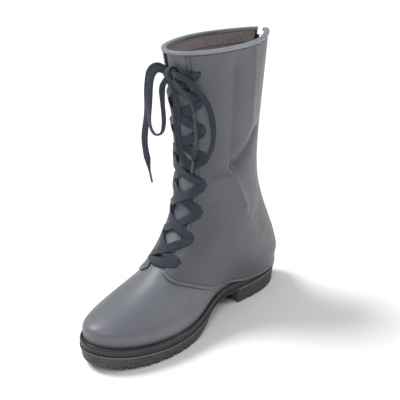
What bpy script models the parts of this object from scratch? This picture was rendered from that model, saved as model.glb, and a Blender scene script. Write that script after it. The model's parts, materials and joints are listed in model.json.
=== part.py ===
"""Calf-high lace-up boot for the right foot, standing on its sole.

Axes: +Y runs from the heel to the toe, +X to the outer (lateral) side, +Z up, in metres.
Origin: the centre of the heel's flat ground face.

One function, skin(), gives every wall of the boot. It goes round girths from the feather line (level 0)
to the collar (the last level). A place on it is a level and a turn: turn 0 is the back, 0.25 the outer
side, 0.5 the front and 0.75 the inner side.
"""
import math

import bmesh
import bpy
import numpy as np
from mathutils import Vector

# Driving sizes
SOLE_LENGTH = 0.297
BALL_WIDTH = 0.104
BOOT_HEIGHT = 0.303
HEEL_CENTRE = 0.050
UPPER_WALL = 0.0016
QUARTER_WALL = 0.0013
QUARTER_GAP = 0.0009
CLEARANCE = 0.0003

# Sole
SOLE_LINE = 0.025
MIDSOLE_THICK = 0.0078
INSOLE_THICK = 0.0025
INSOLE_GAP = 0.0022
WELT_LEDGE = 0.0038
LEDGE_GROOVE = 0.0007
RIB_DEPTH = 0.0006
LUG_DEPTH = 0.0022
LUG_GROOVE = 0.0030
LUG_FLANK = 0.0004

# Lacing
EYELET_PAIRS = 8
EYELET_RADIUS = 0.0023
PUNCH_LENGTH = 0.010
FACING_GAP_TOP = 0.0270
FACING_GAP_FOOT = 0.0220
EYELET_INSET = 0.0105
EYELET_TOP_MARGIN = 0.0210
EYELET_FOOT_MARGIN = 0.0120
LACE_WIDTH = 0.0092
LACE_THICK = 0.0012
AGLET_LENGTH = 0.0130

LACE_TIP = 0.0018
LACE_LIFT = 0.0008
KNOT_BOW = 1.5
LACE_STEP = 0.0060
FREE_LACE_WIDTH = 0.0072
LEAD_WIDTH = 0.0056
KNOT_TAPER = 0.28
AGLET_RADIUS = 0.0012

# Bow, hanging before the top pair of eyelets; its places are chosen by hand. They are in thousandths:
# of BALL_WIDTH from the middle line, of SOLE_LENGTH from the heel's end, and of BOOT_HEIGHT above
# SOLE_LINE. Each stretch has the direction that its flat side faces and its route.
KNOT_CENTRE = (-28.8, 580.8, 838.3)
KNOT_RADII = (0.0085, 0.0062, 0.0062)
LACE_ROUTES = {
    "lace_loop_outer": ((0.79, -0.62, 0.0), (
        (23.1, 596.3, 846.5), (62.5, 612.8, 853.1), (91.3, 622.9, 843.2), (110.6, 631.3, 815.2),
        (117.3, 634.7, 769.0), (121.2, 636.4, 722.8), (121.2, 636.4, 683.2), (108.7, 630.6, 651.8),
        (79.8, 619.5, 635.3), (48.1, 609.4, 638.6), (26.9, 602.7, 660.1), (23.1, 601.3, 693.1),
        (27.9, 603.4, 732.7), (30.8, 604.7, 772.3), (25.0, 602.7, 802.0), (-1.9, 594.3, 822.1))),
    "lace_end_outer": ((0.79, -0.62, 0.0), (
        (47.1, 580.8, 850.5), (105.8, 597.6, 861.4), (144.2, 612.8, 851.5), (163.5, 621.2, 821.8),
        (173.1, 625.6, 769.0), (178.8, 628.3, 716.2), (186.5, 631.6, 666.7), (194.2, 635.7, 627.1),
        (192.3, 634.7, 587.5), (178.8, 629.6, 544.6), (167.3, 624.9, 505.0))),
    "lace_loop_inner": ((-0.45, 0.85, 0.0), (
        (-98.1, 596.0, 839.6), (-173.1, 590.9, 835.0), (-235.6, 570.7, 816.8), (-283.7, 543.8, 782.2),
        (-326.9, 525.3, 749.2), (-351.0, 511.8, 709.6), (-360.6, 503.4, 663.4), (-351.0, 501.7, 613.9),
        (-322.1, 506.7, 571.0), (-269.2, 516.8, 541.3), (-197.1, 532.0, 529.7), (-125.0, 543.8, 536.3),
        (-72.1, 552.2, 566.0), (-48.1, 557.2, 613.9), (-52.9, 564.0, 679.9), (-62.5, 572.4, 745.9),
        (-62.5, 580.8, 792.1), (-51.9, 582.2, 817.5))),
    "lace_end_inner": ((-0.45, 0.85, 0.0), (
        (-76.9, 594.6, 820.8), (-158.7, 594.6, 798.7), (-216.3, 579.8, 770.6), (-250.0, 564.0, 732.7),
        (-254.8, 553.9, 683.2), (-250.0, 547.1, 630.4), (-235.6, 547.1, 584.2), (-221.2, 550.5, 551.2))),
}
AGLETS = {
    "aglet_outer": ((167.3, 624.9, 504.6), (148.1, 616.8, 445.5)),
    "aglet_inner": ((-221.2, 550.5, 550.5), (-206.7, 553.9, 505.0)),
}

# Collar binding
BINDING_DEPTH = 0.0045
BINDING_WALL = 0.0007

# Zip at the back
ZIP_FOOT_LEVEL = 6
ZIP_SLIDER_DROP = 0.0150
ZIP_SLOT = 0.0068
ZIP_SPREAD = 0.0100
TAPE_WIDTH = 0.0144
TAPE_THICK = 0.0010
TEETH_WIDTH = 0.0036
TEETH_THICK = 0.0014
SLIDER_WIDTH = 0.0080
SLIDER_HEIGHT = 0.0100
SLIDER_THICK = 0.0016
PULL_LENGTH = 0.0190
PULL_WIDTH = 0.0060
PULL_THICK = 0.0014
PULL_EYE = 0.0015
PIN_RADIUS = 0.0006
CHEEK_INSIDE = 0.0022
CHEEK_THICK = 0.0009

# Hem of the quarters
HEM_CLEARANCE = 0.0006
HEM_DROP = 0.0060
FLARE_LEVELS = 1.0

# Girths of the upper, from the feather line to the collar. Front and back are shares of SOLE_LENGTH
# from the heel's end, the rises are shares of BOOT_HEIGHT above SOLE_LINE. The four widths are half
# widths of an oval that would pass there, as shares of BALL_WIDTH. Follow says how much of the
# sole's own rise and waist the girth keeps, and lean how far its front lies to the inner side.
GIRTH_COLUMNS = (
    "front", "back", "front_rise", "back_rise", "heel", "waist", "ball", "toe", "follow", "lean")
GIRTHS = (
    ("feather", 0.9850, 0.0135, 0.0000, 0.0000, 0.410, 0.298, 0.478, 0.525, 1.00, 0.000),
    ("wall",    0.9900, -.0118, 0.0400, 0.0400, 0.430, 0.337, 0.492, 0.535, 1.00, 0.000),
    ("crown",   0.9660, -.0067, 0.0690, 0.0860, 0.423, 0.365, 0.458, 0.475, 0.80, 0.006),
    ("vamp",    0.9060, 0.0084, 0.0920, 0.1350, 0.406, 0.375, 0.408, 0.405, 0.50, 0.020),
    ("ball",    0.8215, 0.0270, 0.1140, 0.1750, 0.394, 0.378, 0.382, 0.372, 0.25, 0.038),
    ("instep",  0.7340, 0.0490, 0.1500, 0.2180, 0.380, 0.372, 0.366, 0.362, 0.10, 0.052),
    ("throat",  0.6530, 0.0740, 0.2080, 0.2640, 0.361, 0.362, 0.358, 0.356, 0.00, 0.050),
    ("bend",    0.5790, 0.0993, 0.2855, 0.3200, 0.332, 0.351, 0.351, 0.346, 0.00, 0.038),
    ("ankle",   0.5350, 0.1240, 0.3730, 0.3930, 0.306, 0.337, 0.341, 0.337, 0.00, 0.026),
    ("shin",    0.5170, 0.1320, 0.4720, 0.4820, 0.290, 0.332, 0.341, 0.337, 0.00, 0.020),
    ("calf",    0.5220, 0.1230, 0.6040, 0.6110, 0.292, 0.346, 0.356, 0.356, 0.00, 0.020),
    ("top",     0.5420, 0.0960, 0.7590, 0.7740, 0.292, 0.365, 0.380, 0.380, 0.00, 0.020),
    ("collar",  0.5710, 0.0690, 0.9070, 0.9320, 0.290, 0.370, 0.389, 0.394, 0.00, 0.020),
)
WIDTH_STATIONS = (0.14, 0.40, 0.68, 0.90)
TOP_LEVEL = len(GIRTHS) - 1
SIDE_COLUMNS = 17
ROW_LEVELS = (0, 0.6, 1.2, 1.8, 2.4, 3.0, 3.6, 4.2, 4.8, 5.4, 6.0, 6.4, 7.0, 7.7, 8.4, 9.2, 10.1, 11.0, 12.0)
TONGUE_COLUMNS = 2

# Outline of the sole in plan, in the same four widths, and the outward swing of the waist.
SOLE_WIDTHS = (0.452, 0.334, 0.518, 0.580)
WAIST_SWING = 0.048
WAIST_PLACE = 0.42
WAIST_SPAN = 0.13

# Heights along the sole, as shares of SOLE_LENGTH from the heel's end, and of SOLE_LINE above the
# floor: the midsole's top and the outsole's ground face.
SOLE_HEIGHTS = (
    # place, top, ground
    (0.00, 1.20, 0.030),
    (0.05, 1.19, 0.000),
    (0.16, 1.18, 0.000),
    (0.29, 1.15, 0.000),
    (0.45, 1.06, 0.000),
    (0.60, 0.93, 0.000),
    (0.72, 0.89, 0.000),
    (0.84, 0.93, 0.010),
    (0.93, 1.04, 0.120),
    (1.00, 1.20, 0.330),
)
HEEL_BREAST = 0.305
BREAST_SLOPE = 0.012
ARCH_END = 0.615
ARCH_RISE = 0.62
HEEL_LUGS = (0.06, 0.11, 0.205, 0.255)
FOREFOOT_LUGS = (0.655, 0.70, 0.745, 0.79, 0.835, 0.88, 0.925)

# Hem of the quarters: way from the facing to the back seam, and the level there.
HEM = (
    (0.00, 5.42),
    (0.12, 4.85),
    (0.27, 3.90),
    (0.43, 2.10),
    (0.53, 0.85),
    (0.61, 0.10),
    (0.72, -0.50),
    (1.00, -0.60),
)


def spline(knots, values, at):
    """Natural cubic spline through the values at the knots; past the ends it runs straight on."""
    knots = np.asarray(knots, float)
    values = np.asarray(values, float)
    at = np.asarray(at, float)
    table = values.reshape(len(knots), -1)
    gap = np.diff(knots)
    slope = np.diff(table, axis=0) / gap[:, None]
    matrix = np.eye(len(knots))
    right = np.zeros_like(table)
    for i in range(1, len(knots) - 1):
        matrix[i, i - 1:i + 2] = gap[i - 1], 2 * (gap[i - 1] + gap[i]), gap[i]
        right[i] = 6 * (slope[i] - slope[i - 1])
    bend = np.linalg.solve(matrix, right)
    inside = np.clip(at, knots[0], knots[-1]).ravel()
    i = np.clip(np.searchsorted(knots, inside, side="right") - 1, 0, len(gap) - 1)
    h = gap[i][:, None]
    a = (knots[i + 1] - inside)[:, None] / h
    b = 1 - a
    y = a * table[i] + b * table[i + 1]
    y += ((a ** 3 - a) * bend[i] + (b ** 3 - b) * bend[i + 1]) * h ** 2 / 6
    first = slope[0] - gap[0] * (2 * bend[0] + bend[1]) / 6
    last = slope[-1] + gap[-1] * (bend[-2] + 2 * bend[-1]) / 6
    over = (at.ravel() - inside)[:, None]
    y += np.where(over < 0, over * first, over * last)
    return y.reshape(at.shape + values.shape[1:])


def smooth(x):
    """Step from 0 to 1 with level ends."""
    x = np.clip(x, 0.0, 1.0)
    return x * x * (3 - 2 * x)


def column(name):
    return GIRTH_COLUMNS.index(name)


GIRTH_TABLE = np.array([row[1:] for row in GIRTHS])
STATION_WEIGHTS = np.eye(len(WIDTH_STATIONS))
HEIGHT_TABLE = np.array(SOLE_HEIGHTS)


def waist_swing(share):
    """How far the foot's middle swings outwards at a share of its length."""
    return WAIST_SWING * BALL_WIDTH * np.exp(-((share - WAIST_PLACE) / WAIST_SPAN) ** 2)


def sole_top(y):
    """Height of the midsole's top at a place along the foot."""
    share = (y + HEEL_CENTRE) / SOLE_LENGTH
    return SOLE_LINE * spline(HEIGHT_TABLE[:, 0], HEIGHT_TABLE[:, 1], share)


def ground(y):
    """Height of the outsole's ground face: flat heel and ball, raised arch, toe spring."""
    share = (y + HEEL_CENTRE) / SOLE_LENGTH
    base = SOLE_LINE * np.maximum(np.interp(share, HEIGHT_TABLE[:, 0], HEIGHT_TABLE[:, 2]), 0)
    into = smooth((share - HEEL_BREAST) / BREAST_SLOPE)
    fall = 1 - smooth((share - HEEL_BREAST - 0.10) / (ARCH_END - HEEL_BREAST - 0.10))
    return base + ARCH_RISE * SOLE_LINE * into * fall


def skin(level, turn, offset=0.0):
    """Points of the boot's outer form, moved outwards by offset.

    Each girth is an oval with its own half width at every share of its length, read between the
    rows of GIRTHS, and the offset goes along the surface's normal.
    """
    level, turn, offset = np.broadcast_arrays(
        np.asarray(level, float), np.asarray(turn, float), np.asarray(offset, float))

    def bare(lev, trn):
        row = spline(np.arange(len(GIRTHS)), GIRTH_TABLE, lev)
        angle = 2 * math.pi * trn
        share = (1 - np.cos(angle)) / 2
        weights = spline(WIDTH_STATIONS, STATION_WEIGHTS, share)
        half = (weights * row[..., column("heel"):column("toe") + 1]).sum(-1) * BALL_WIDTH
        along = row[..., column("back")] * (1 - share) + row[..., column("front")] * share
        y = along * SOLE_LENGTH - HEEL_CENTRE
        follow = row[..., column("follow")]
        lean = row[..., column("lean")] * BALL_WIDTH * share ** 2
        x = half * np.sin(angle) + follow * waist_swing(along) - lean
        rise = row[..., column("back_rise")] * (1 - share) + row[..., column("front_rise")] * share
        z = SOLE_LINE + follow * (sole_top(y) - SOLE_LINE) + rise * BOOT_HEIGHT
        return np.stack([x, y, z], -1)

    step = 1e-3
    point = bare(level, turn)
    up = bare(level + step, turn) - bare(level - step, turn)
    round_ = bare(level, turn + step) - bare(level, turn - step)
    normal = np.cross(round_, up)
    normal /= np.linalg.norm(normal, axis=-1, keepdims=True)
    return point + normal * offset[..., None]


def sole_edge(turn, inset=0.0):
    """Outline of the sole in plan, moved inwards by inset; the same turns as skin()."""
    def bare(trn):
        angle = 2 * math.pi * np.asarray(trn, float)
        share = (1 - np.cos(angle)) / 2
        half = spline(WIDTH_STATIONS, SOLE_WIDTHS, share) * BALL_WIDTH
        x = half * np.sin(angle) + waist_swing(share)
        return np.stack([x, share * SOLE_LENGTH - HEEL_CENTRE], -1)

    step = 1e-3
    along = bare(turn + step) - bare(turn - step)
    along /= np.linalg.norm(along, axis=-1, keepdims=True)
    inward = np.stack([-along[..., 1], along[..., 0]], -1)
    return bare(turn) + inward * np.asarray(inset)[..., None]


def turn_at(level, start, side, arc):
    """Turn at an arc length from the front (start 0.5) or back (start 0) towards side +1 or -1."""
    away = np.linspace(0, 0.25, 81)
    sign = side if start == 0 else -side
    level, arc = np.broadcast_arrays(np.atleast_1d(np.asarray(level, float)), np.asarray(arc, float))
    turns = np.empty(len(level))
    for i, lev in enumerate(level):
        line = skin(np.full_like(away, lev), start + sign * away)
        run = np.concatenate([[0], np.cumsum(np.linalg.norm(np.diff(line, axis=0), axis=1))])
        turns[i] = start + sign * np.interp(arc[i], run, away)
    return turns


# Mesh helpers

def material(name, hex_colour, roughness, metallic=0.0):
    """Principled material of one colour, given as sRGB hex."""
    mat = bpy.data.materials.new(name)
    mat.use_nodes = True
    shader = mat.node_tree.nodes["Principled BSDF"]
    channels = [int(hex_colour[i:i + 2], 16) / 255 for i in (0, 2, 4)]
    linear = [c / 12.92 if c <= 0.04045 else ((c + 0.055) / 1.055) ** 2.4 for c in channels]
    shader.inputs["Base Color"].default_value = (*linear, 1.0)
    shader.inputs["Roughness"].default_value = roughness
    shader.inputs["Metallic"].default_value = metallic
    return mat


def add_object(name, vertices, faces, mat, smooth_angle=40.0):
    """Object from vertices and faces, with doubles merged, faces outwards and smooth shading."""
    mesh = bpy.data.meshes.new(name)
    mesh.from_pydata([tuple(v) for v in np.asarray(vertices, float)], [], faces)
    bm = bmesh.new()
    bm.from_mesh(mesh)
    bmesh.ops.remove_doubles(bm, verts=bm.verts, dist=1e-6)
    bmesh.ops.dissolve_degenerate(bm, edges=bm.edges, dist=1e-6)
    bmesh.ops.recalc_face_normals(bm, faces=bm.faces)
    quads = [face for face in bm.faces if len(face.verts) == 4]
    bmesh.ops.triangulate(bm, faces=quads, quad_method="SHORT_EDGE")
    bm.to_mesh(mesh)
    bm.free()
    mesh.shade_smooth()
    mesh.set_sharp_from_angle(angle=math.radians(smooth_angle))
    mesh.materials.append(mat)
    obj = bpy.data.objects.new(name, mesh)
    bpy.context.collection.objects.link(obj)
    return obj


def shell(name, outer, inner, mat, keep=None, closed=False):
    """Wall between two grids of points (rows, columns, 3).

    keep says which cells are material; every edge between material and none gets a rim.
    """
    rows, columns = outer.shape[:2]
    cells = columns if closed else columns - 1
    if keep is None:
        keep = np.ones((rows - 1, cells), bool)
    count = rows * columns
    faces = []

    def index(r, c, layer):
        return layer * count + r * columns + c % columns

    def solid(r, c):
        if closed:
            c %= columns
        return 0 <= r < rows - 1 and 0 <= c < cells and keep[r, c]

    for r in range(rows - 1):
        for c in range(cells):
            if not keep[r, c]:
                continue
            ring = [(r, c), (r, c + 1), (r + 1, c + 1), (r + 1, c)]
            faces.append([index(*p, 0) for p in ring])
            faces.append([index(*p, 1) for p in reversed(ring)])
            beyond = [(r - 1, c), (r, c + 1), (r + 1, c), (r, c - 1)]
            for k, cell in enumerate(beyond):
                if not solid(*cell):
                    a, b = ring[k], ring[(k + 1) % 4]
                    faces.append([index(*b, 0), index(*a, 0), index(*a, 1), index(*b, 1)])
    vertices = np.concatenate([outer.reshape(-1, 3), inner.reshape(-1, 3)])
    used = sorted({i for face in faces for i in face})
    place = {old: new for new, old in enumerate(used)}
    faces = [[place[i] for i in face] for face in faces]
    return add_object(name, vertices[used], faces, mat)


def tube(name, rings, mat, joined=False, smooth_angle=40.0):
    """Skin over a row of rings (stations, points, 3), with flat ends or joined into a loop."""
    stations, points = rings.shape[:2]
    faces = []
    for s in range(stations if joined else stations - 1):
        for p in range(points):
            a = s * points + p
            b = s * points + (p + 1) % points
            after = (s + 1) % stations
            faces.append([a, b, after * points + (p + 1) % points, after * points + p])
    if not joined:
        faces.append(list(range(points))[::-1])
        faces.append([(stations - 1) * points + p for p in range(points)])
    return add_object(name, rings.reshape(-1, 3), faces, mat, smooth_angle)


def slab(name, turns, layers, mat):
    """Solid between stacked outlines (layers, turns, 3), closed below and above by cross strips.

    turns run from the back along the outer side to the front and back along the inner side.
    """
    count = len(turns)
    half = count // 2
    faces = []
    for layer in range(len(layers) - 1):
        for i in range(count):
            j = (i + 1) % count
            low, high = layer * count, (layer + 1) * count
            faces.append([low + i, low + j, high + j, high + i])
    for base, flip in ((0, True), ((len(layers) - 1) * count, False)):
        for i in range(half):
            left = (count - i) % count
            ring = [base + i, base + i + 1, base + count - i - 1, base + left]
            ring = list(dict.fromkeys(ring))
            faces.append(ring[::-1] if flip else ring)
    return add_object(name, np.concatenate(layers), faces, mat)


def mirrored_turns(half_turns):
    """Turns from 0 to 0.5 and the same places back along the other side."""
    half_turns = np.asarray(half_turns)
    return np.concatenate([half_turns, 1 - half_turns[-2:0:-1]])


def turns_at_shares(shares):
    return np.arccos(1 - 2 * np.clip(np.asarray(shares), 0, 1)) / (2 * math.pi)


def combine(target, tool, operation):
    """Unite a solid with a tool or cut it by the tool, which stays as a hidden guide."""
    tool.hide_render = True
    tool.display_type = "WIRE"
    step = target.modifiers.new(tool.name, "BOOLEAN")
    step.operation = operation
    step.object = tool
    step.solver = "EXACT"


def cylinder(name, radius, length, centre, axis, sides):
    """Plain cylinder with its middle at the centre, along an axis."""
    bpy.ops.mesh.primitive_cylinder_add(vertices=sides, radius=radius, depth=length)
    obj = bpy.context.object
    obj.name = name
    obj.location = centre
    obj.rotation_euler = Vector(axis).to_track_quat("Z", "Y").to_euler()
    return obj


# Sub-parts

def side_turns(levels, side):
    """Turns of the wall's columns on one side, from the facing's edge to the edge of the zip's slot.

    Upper, quarters and binding share these columns, so their facets lie parallel.
    """
    front = facing_turn(levels, side)
    back = turn_at(levels, 0, side, TAPE_WIDTH / 2 + CLEARANCE * 2)
    if side < 0:
        back = back + 1
    way = np.linspace(0, 1, SIDE_COLUMNS)
    return front[:, None] * (1 - way) + back[:, None] * way


def ring_turns(levels):
    """Turns of the whole wall, from the slot round the outer side, the tongue and the inner side."""
    outer_side = side_turns(levels, 1)[:, ::-1]
    inner_side = side_turns(levels, -1)
    way = np.linspace(0, 1, TONGUE_COLUMNS + 2)[1:-1]
    tongue = outer_side[:, -1:] * (1 - way) + inner_side[:, :1] * way
    return np.concatenate([outer_side, tongue, inner_side], 1)


def build_upper(mat):
    """Vamp, tongue panel and lining in one wall, open at the collar, the back slot and underneath."""
    levels = np.array(ROW_LEVELS)
    turn = ring_turns(levels)
    around = turn.shape[1]
    level = np.repeat(levels[:, None], around, 1)
    outer = skin(level, turn)
    inner = skin(level, turn, -UPPER_WALL)
    outer[0, :, 2] += CLEARANCE
    for rim in (0, -1):
        inner[rim, :, 2] = outer[rim, :, 2]
    keep = np.ones((len(levels) - 1, around), bool)
    keep[levels[:-1] >= ZIP_FOOT_LEVEL, -1] = False
    return shell("upper", outer, inner, mat, keep, closed=True)


def quarter_point(level, turn, layer):
    """Face of a quarter: layer 0 is its inner face. Low down it flares over the edge of the sole."""
    held = np.maximum(level, 0)
    body = skin(held, turn, QUARTER_GAP + layer)
    edge = sole_edge(turn, -(HEM_CLEARANCE + layer))
    near = smooth(1 - held / FLARE_LEVELS)
    place = body[..., :2] * (1 - near[..., None]) + edge * near[..., None]
    height = body[..., 2] + np.minimum(level, 0) * HEM_DROP
    return np.concatenate([place, height[..., None]], -1)


def facing_turn(level, side):
    """Turn of a facing's front edge."""
    low = HEM[0][1]
    gap = FACING_GAP_FOOT + (FACING_GAP_TOP - FACING_GAP_FOOT) * (level - low) / (TOP_LEVEL - low)
    return turn_at(level, 0.5, side, gap / 2)


def back_gap(level):
    """Half the gap between the quarters at the back: a seam, then the zip's slot, spread at the top."""
    slot = smooth((level - ZIP_FOOT_LEVEL) / 0.4) * (ZIP_SLOT / 2 - CLEARANCE / 2)
    spread = smooth(level - TOP_LEVEL + 1) * (ZIP_SPREAD - ZIP_SLOT) / 2
    return CLEARANCE / 2 + slot + spread


def eyelet_levels(side):
    """Levels of the eyelets, evenly spaced along the facing."""
    levels = np.linspace(HEM[0][1], TOP_LEVEL, 121)
    line = skin(levels, facing_turn(levels, side))
    run = np.concatenate([[0], np.cumsum(np.linalg.norm(np.diff(line, axis=0), axis=1))])
    stops = np.linspace(EYELET_FOOT_MARGIN, run[-1] - EYELET_TOP_MARGIN, EYELET_PAIRS)
    return np.interp(stops, run, levels)


def eyelet_turns(levels, side):
    gap = FACING_GAP_FOOT + (FACING_GAP_TOP - FACING_GAP_FOOT) * (levels - HEM[0][1]) / (TOP_LEVEL - HEM[0][1])
    return turn_at(levels, 0.5, side, gap / 2 + EYELET_INSET)


def build_quarter(name, side, mat):
    """One side of the gaiter-like overlay, with its facing, eyelets and hem."""
    way = np.linspace(0, 1, SIDE_COLUMNS + 1)
    foot = spline([row[0] for row in HEM], [row[1] for row in HEM], way)
    rows = np.array([HEM[-1][1], *ROW_LEVELS])
    share = ((rows - rows[0]) / (rows[-1] - rows[0]))[:, None]
    level = foot * (1 - share) + TOP_LEVEL * share
    flat = level[:, :-1].ravel()
    columns = np.tile(np.arange(SIDE_COLUMNS), len(rows))
    turn = side_turns(np.maximum(flat, 0), side)[np.arange(len(flat)), columns]
    back = turn_at(np.maximum(level[:, -1], 0), 0, side, back_gap(level[:, -1]))
    turn = np.column_stack([turn.reshape(len(rows), -1), back if side > 0 else 1 + back])
    inner = quarter_point(level, turn, 0.0)
    outer = quarter_point(level, turn, QUARTER_WALL)
    for face in (inner, outer):
        face[-1, :, 2] = skin(TOP_LEVEL, turn[-1])[:, 2]
    quarter = shell(name, outer, inner, mat)
    holes = eyelet_levels(side)
    turns = eyelet_turns(holes, side)
    for i in range(EYELET_PAIRS):
        near = Vector(skin(holes[i], turns[i]))
        far = Vector(skin(holes[i], turns[i], 1.0))
        punch = cylinder(f"punch_{name}_{i + 1}", EYELET_RADIUS, PUNCH_LENGTH, near, far - near, 10)
        combine(quarter, punch, "DIFFERENCE")


def build_midsole(mat):
    """Black band between upper and outsole, with a groove in its ledge and a rib along its side."""
    turns = mirrored_turns(turns_at_shares((1 - np.cos(np.linspace(0, math.pi, 22))) / 2))
    rows = (
        # inset, height under the top
        (WELT_LEDGE * 2.2, -MIDSOLE_THICK),
        (0.0006, -MIDSOLE_THICK),
        (RIB_DEPTH, -MIDSOLE_THICK * 0.62),
        (0.0, -MIDSOLE_THICK * 0.50),
        (0.0, -MIDSOLE_THICK * 0.10),
        (0.0004, 0.0),
        (0.0014, 0.0),
        (0.0021, -LEDGE_GROOVE),
        (0.0028, 0.0),
    )
    layers = []
    for inset, down in rows:
        edge = sole_edge(turns, inset)
        layers.append(np.column_stack([edge, sole_top(edge[:, 1]) + down]))
    return slab("midsole", turns, layers, mat)


def outsole_shares():
    """Places along the sole: close at the rounded ends, and at each lug's groove and the breast."""
    spots = list((1 - np.cos(np.linspace(0, math.pi, 17))) / 2)
    flank = LUG_FLANK / SOLE_LENGTH
    groove = LUG_GROOVE / SOLE_LENGTH
    lugs = []
    for centre in HEEL_LUGS + FOREFOOT_LUGS:
        lugs += [centre - groove / 2 - flank, centre - groove / 2]
        lugs += [centre + groove / 2, centre + groove / 2 + flank]
    lugs += [HEEL_BREAST, HEEL_BREAST + BREAST_SLOPE * 0.35, HEEL_BREAST + BREAST_SLOPE * 0.65]
    lugs += [HEEL_BREAST + BREAST_SLOPE]
    far = [s for s in spots if min(abs(s - l) for l in lugs) > 2.5 * flank]
    return np.array(sorted(far + lugs))


def lug_cut(y):
    """Depth of the cross grooves between the lugs at a place along the sole."""
    share = (y + HEEL_CENTRE) / SOLE_LENGTH
    depth = np.zeros_like(share)
    for centre in HEEL_LUGS + FOREFOOT_LUGS:
        off = np.abs(share - centre) * SOLE_LENGTH - LUG_GROOVE / 2
        depth = np.maximum(depth, LUG_DEPTH * np.clip(1 - off / LUG_FLANK, 0, 1))
    return depth


def build_outsole(mat):
    """Rubber sole with its heel block, breast, arch, toe spring and cross lugs."""
    shares = outsole_shares()
    turns = mirrored_turns(turns_at_shares(shares))
    rows = (
        # inset, share of the way from the ground to the top
        (0.0030, 0.0),
        (0.0016, 0.10),
        (0.0002, 0.90),
        (-0.0006, 0.95),
        (-0.0004, 1.0),
    )
    spine = (1 - np.cos(2 * math.pi * turns)) / 2 * SOLE_LENGTH - HEEL_CENTRE
    low = ground(spine)
    arch = np.clip(low / SOLE_LINE - 0.2, 0, 1) * np.clip(1 - spine / SOLE_LENGTH * 1.35, 0, 1)
    layers = []
    for inset, share in rows:
        edge = sole_edge(turns, inset + arch * 0.004 * (1 - share))
        bottom = low + lug_cut(spine) * (share < 0.05)
        top = sole_top(edge[:, 1]) - MIDSOLE_THICK - CLEARANCE
        layers.append(np.column_stack([edge, bottom * (1 - share) + top * share]))
    return slab("outsole", turns, layers, mat)


def build_insole(mat):
    """Board inside the upper, lying on the midsole."""
    turns = mirrored_turns(turns_at_shares((1 - np.cos(np.linspace(0, math.pi, 19))) / 2))
    layers = []
    for lift in (CLEARANCE, CLEARANCE + INSOLE_THICK):
        wall = skin(0, turns, -UPPER_WALL - INSOLE_GAP)
        layers.append(np.column_stack([wall[:, :2], sole_top(wall[:, 1]) + lift]))
    return slab("insole", turns, layers, mat)


def build_binding(mat):
    """Folded edge over the tops of upper and quarters, a channel that is open at the back."""
    inside = -UPPER_WALL - CLEARANCE
    outside = QUARTER_GAP + QUARTER_WALL + CLEARANCE
    height = BINDING_DEPTH
    section = (
        # offset from the skin, height over the collar's top
        (inside, -height),
        (inside, CLEARANCE),
        (outside, CLEARANCE),
        (outside, -height),
        (outside + BINDING_WALL, -height),
        (outside + BINDING_WALL, CLEARANCE),
        (outside, CLEARANCE + BINDING_WALL),
        (inside, CLEARANCE + BINDING_WALL),
        (inside - BINDING_WALL, CLEARANCE),
        (inside - BINDING_WALL, -height),
    )
    turns = ring_turns(np.array([TOP_LEVEL]))[0]
    edge = turn_at(TOP_LEVEL, 0, 1, back_gap(TOP_LEVEL))[0]
    turns = np.concatenate([[edge], turns, [1 - edge]])
    rim = skin(np.full_like(turns, TOP_LEVEL), turns)
    per_level = rim[:, 2] - skin(np.full_like(turns, TOP_LEVEL - 1), turns)[:, 2]
    rings = []
    for offset, over in section:
        place = skin(TOP_LEVEL + min(over, 0) / per_level, turns, offset)
        place[:, 2] = rim[:, 2] + over
        rings.append(place)
    return tube("collar_binding", np.stack(rings, 1), mat)


def bow_place(places):
    """Points in metres from places in the bow's tables."""
    return np.asarray(places, float) / 1000 * (BALL_WIDTH, SOLE_LENGTH, BOOT_HEIGHT) + (
        0, -HEEL_CENTRE, SOLE_LINE)


def ribbon_rings(points, normals, widths, thick):
    """Flat rings (stations, 4, 3) of a lace: its width lies across the path, square to the normals."""
    points = np.asarray(points, float)
    along = np.gradient(points, axis=0)
    along /= np.linalg.norm(along, axis=1, keepdims=True)
    across = np.cross(normals, along)
    across /= np.linalg.norm(across, axis=1, keepdims=True)
    face = np.cross(along, across)
    half = np.asarray(widths)[:, None] / 2
    rise = face * thick / 2
    corners = (points - across * half - rise, points + across * half - rise,
               points + across * half + rise, points - across * half + rise)
    return np.stack(corners, 1)


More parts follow.
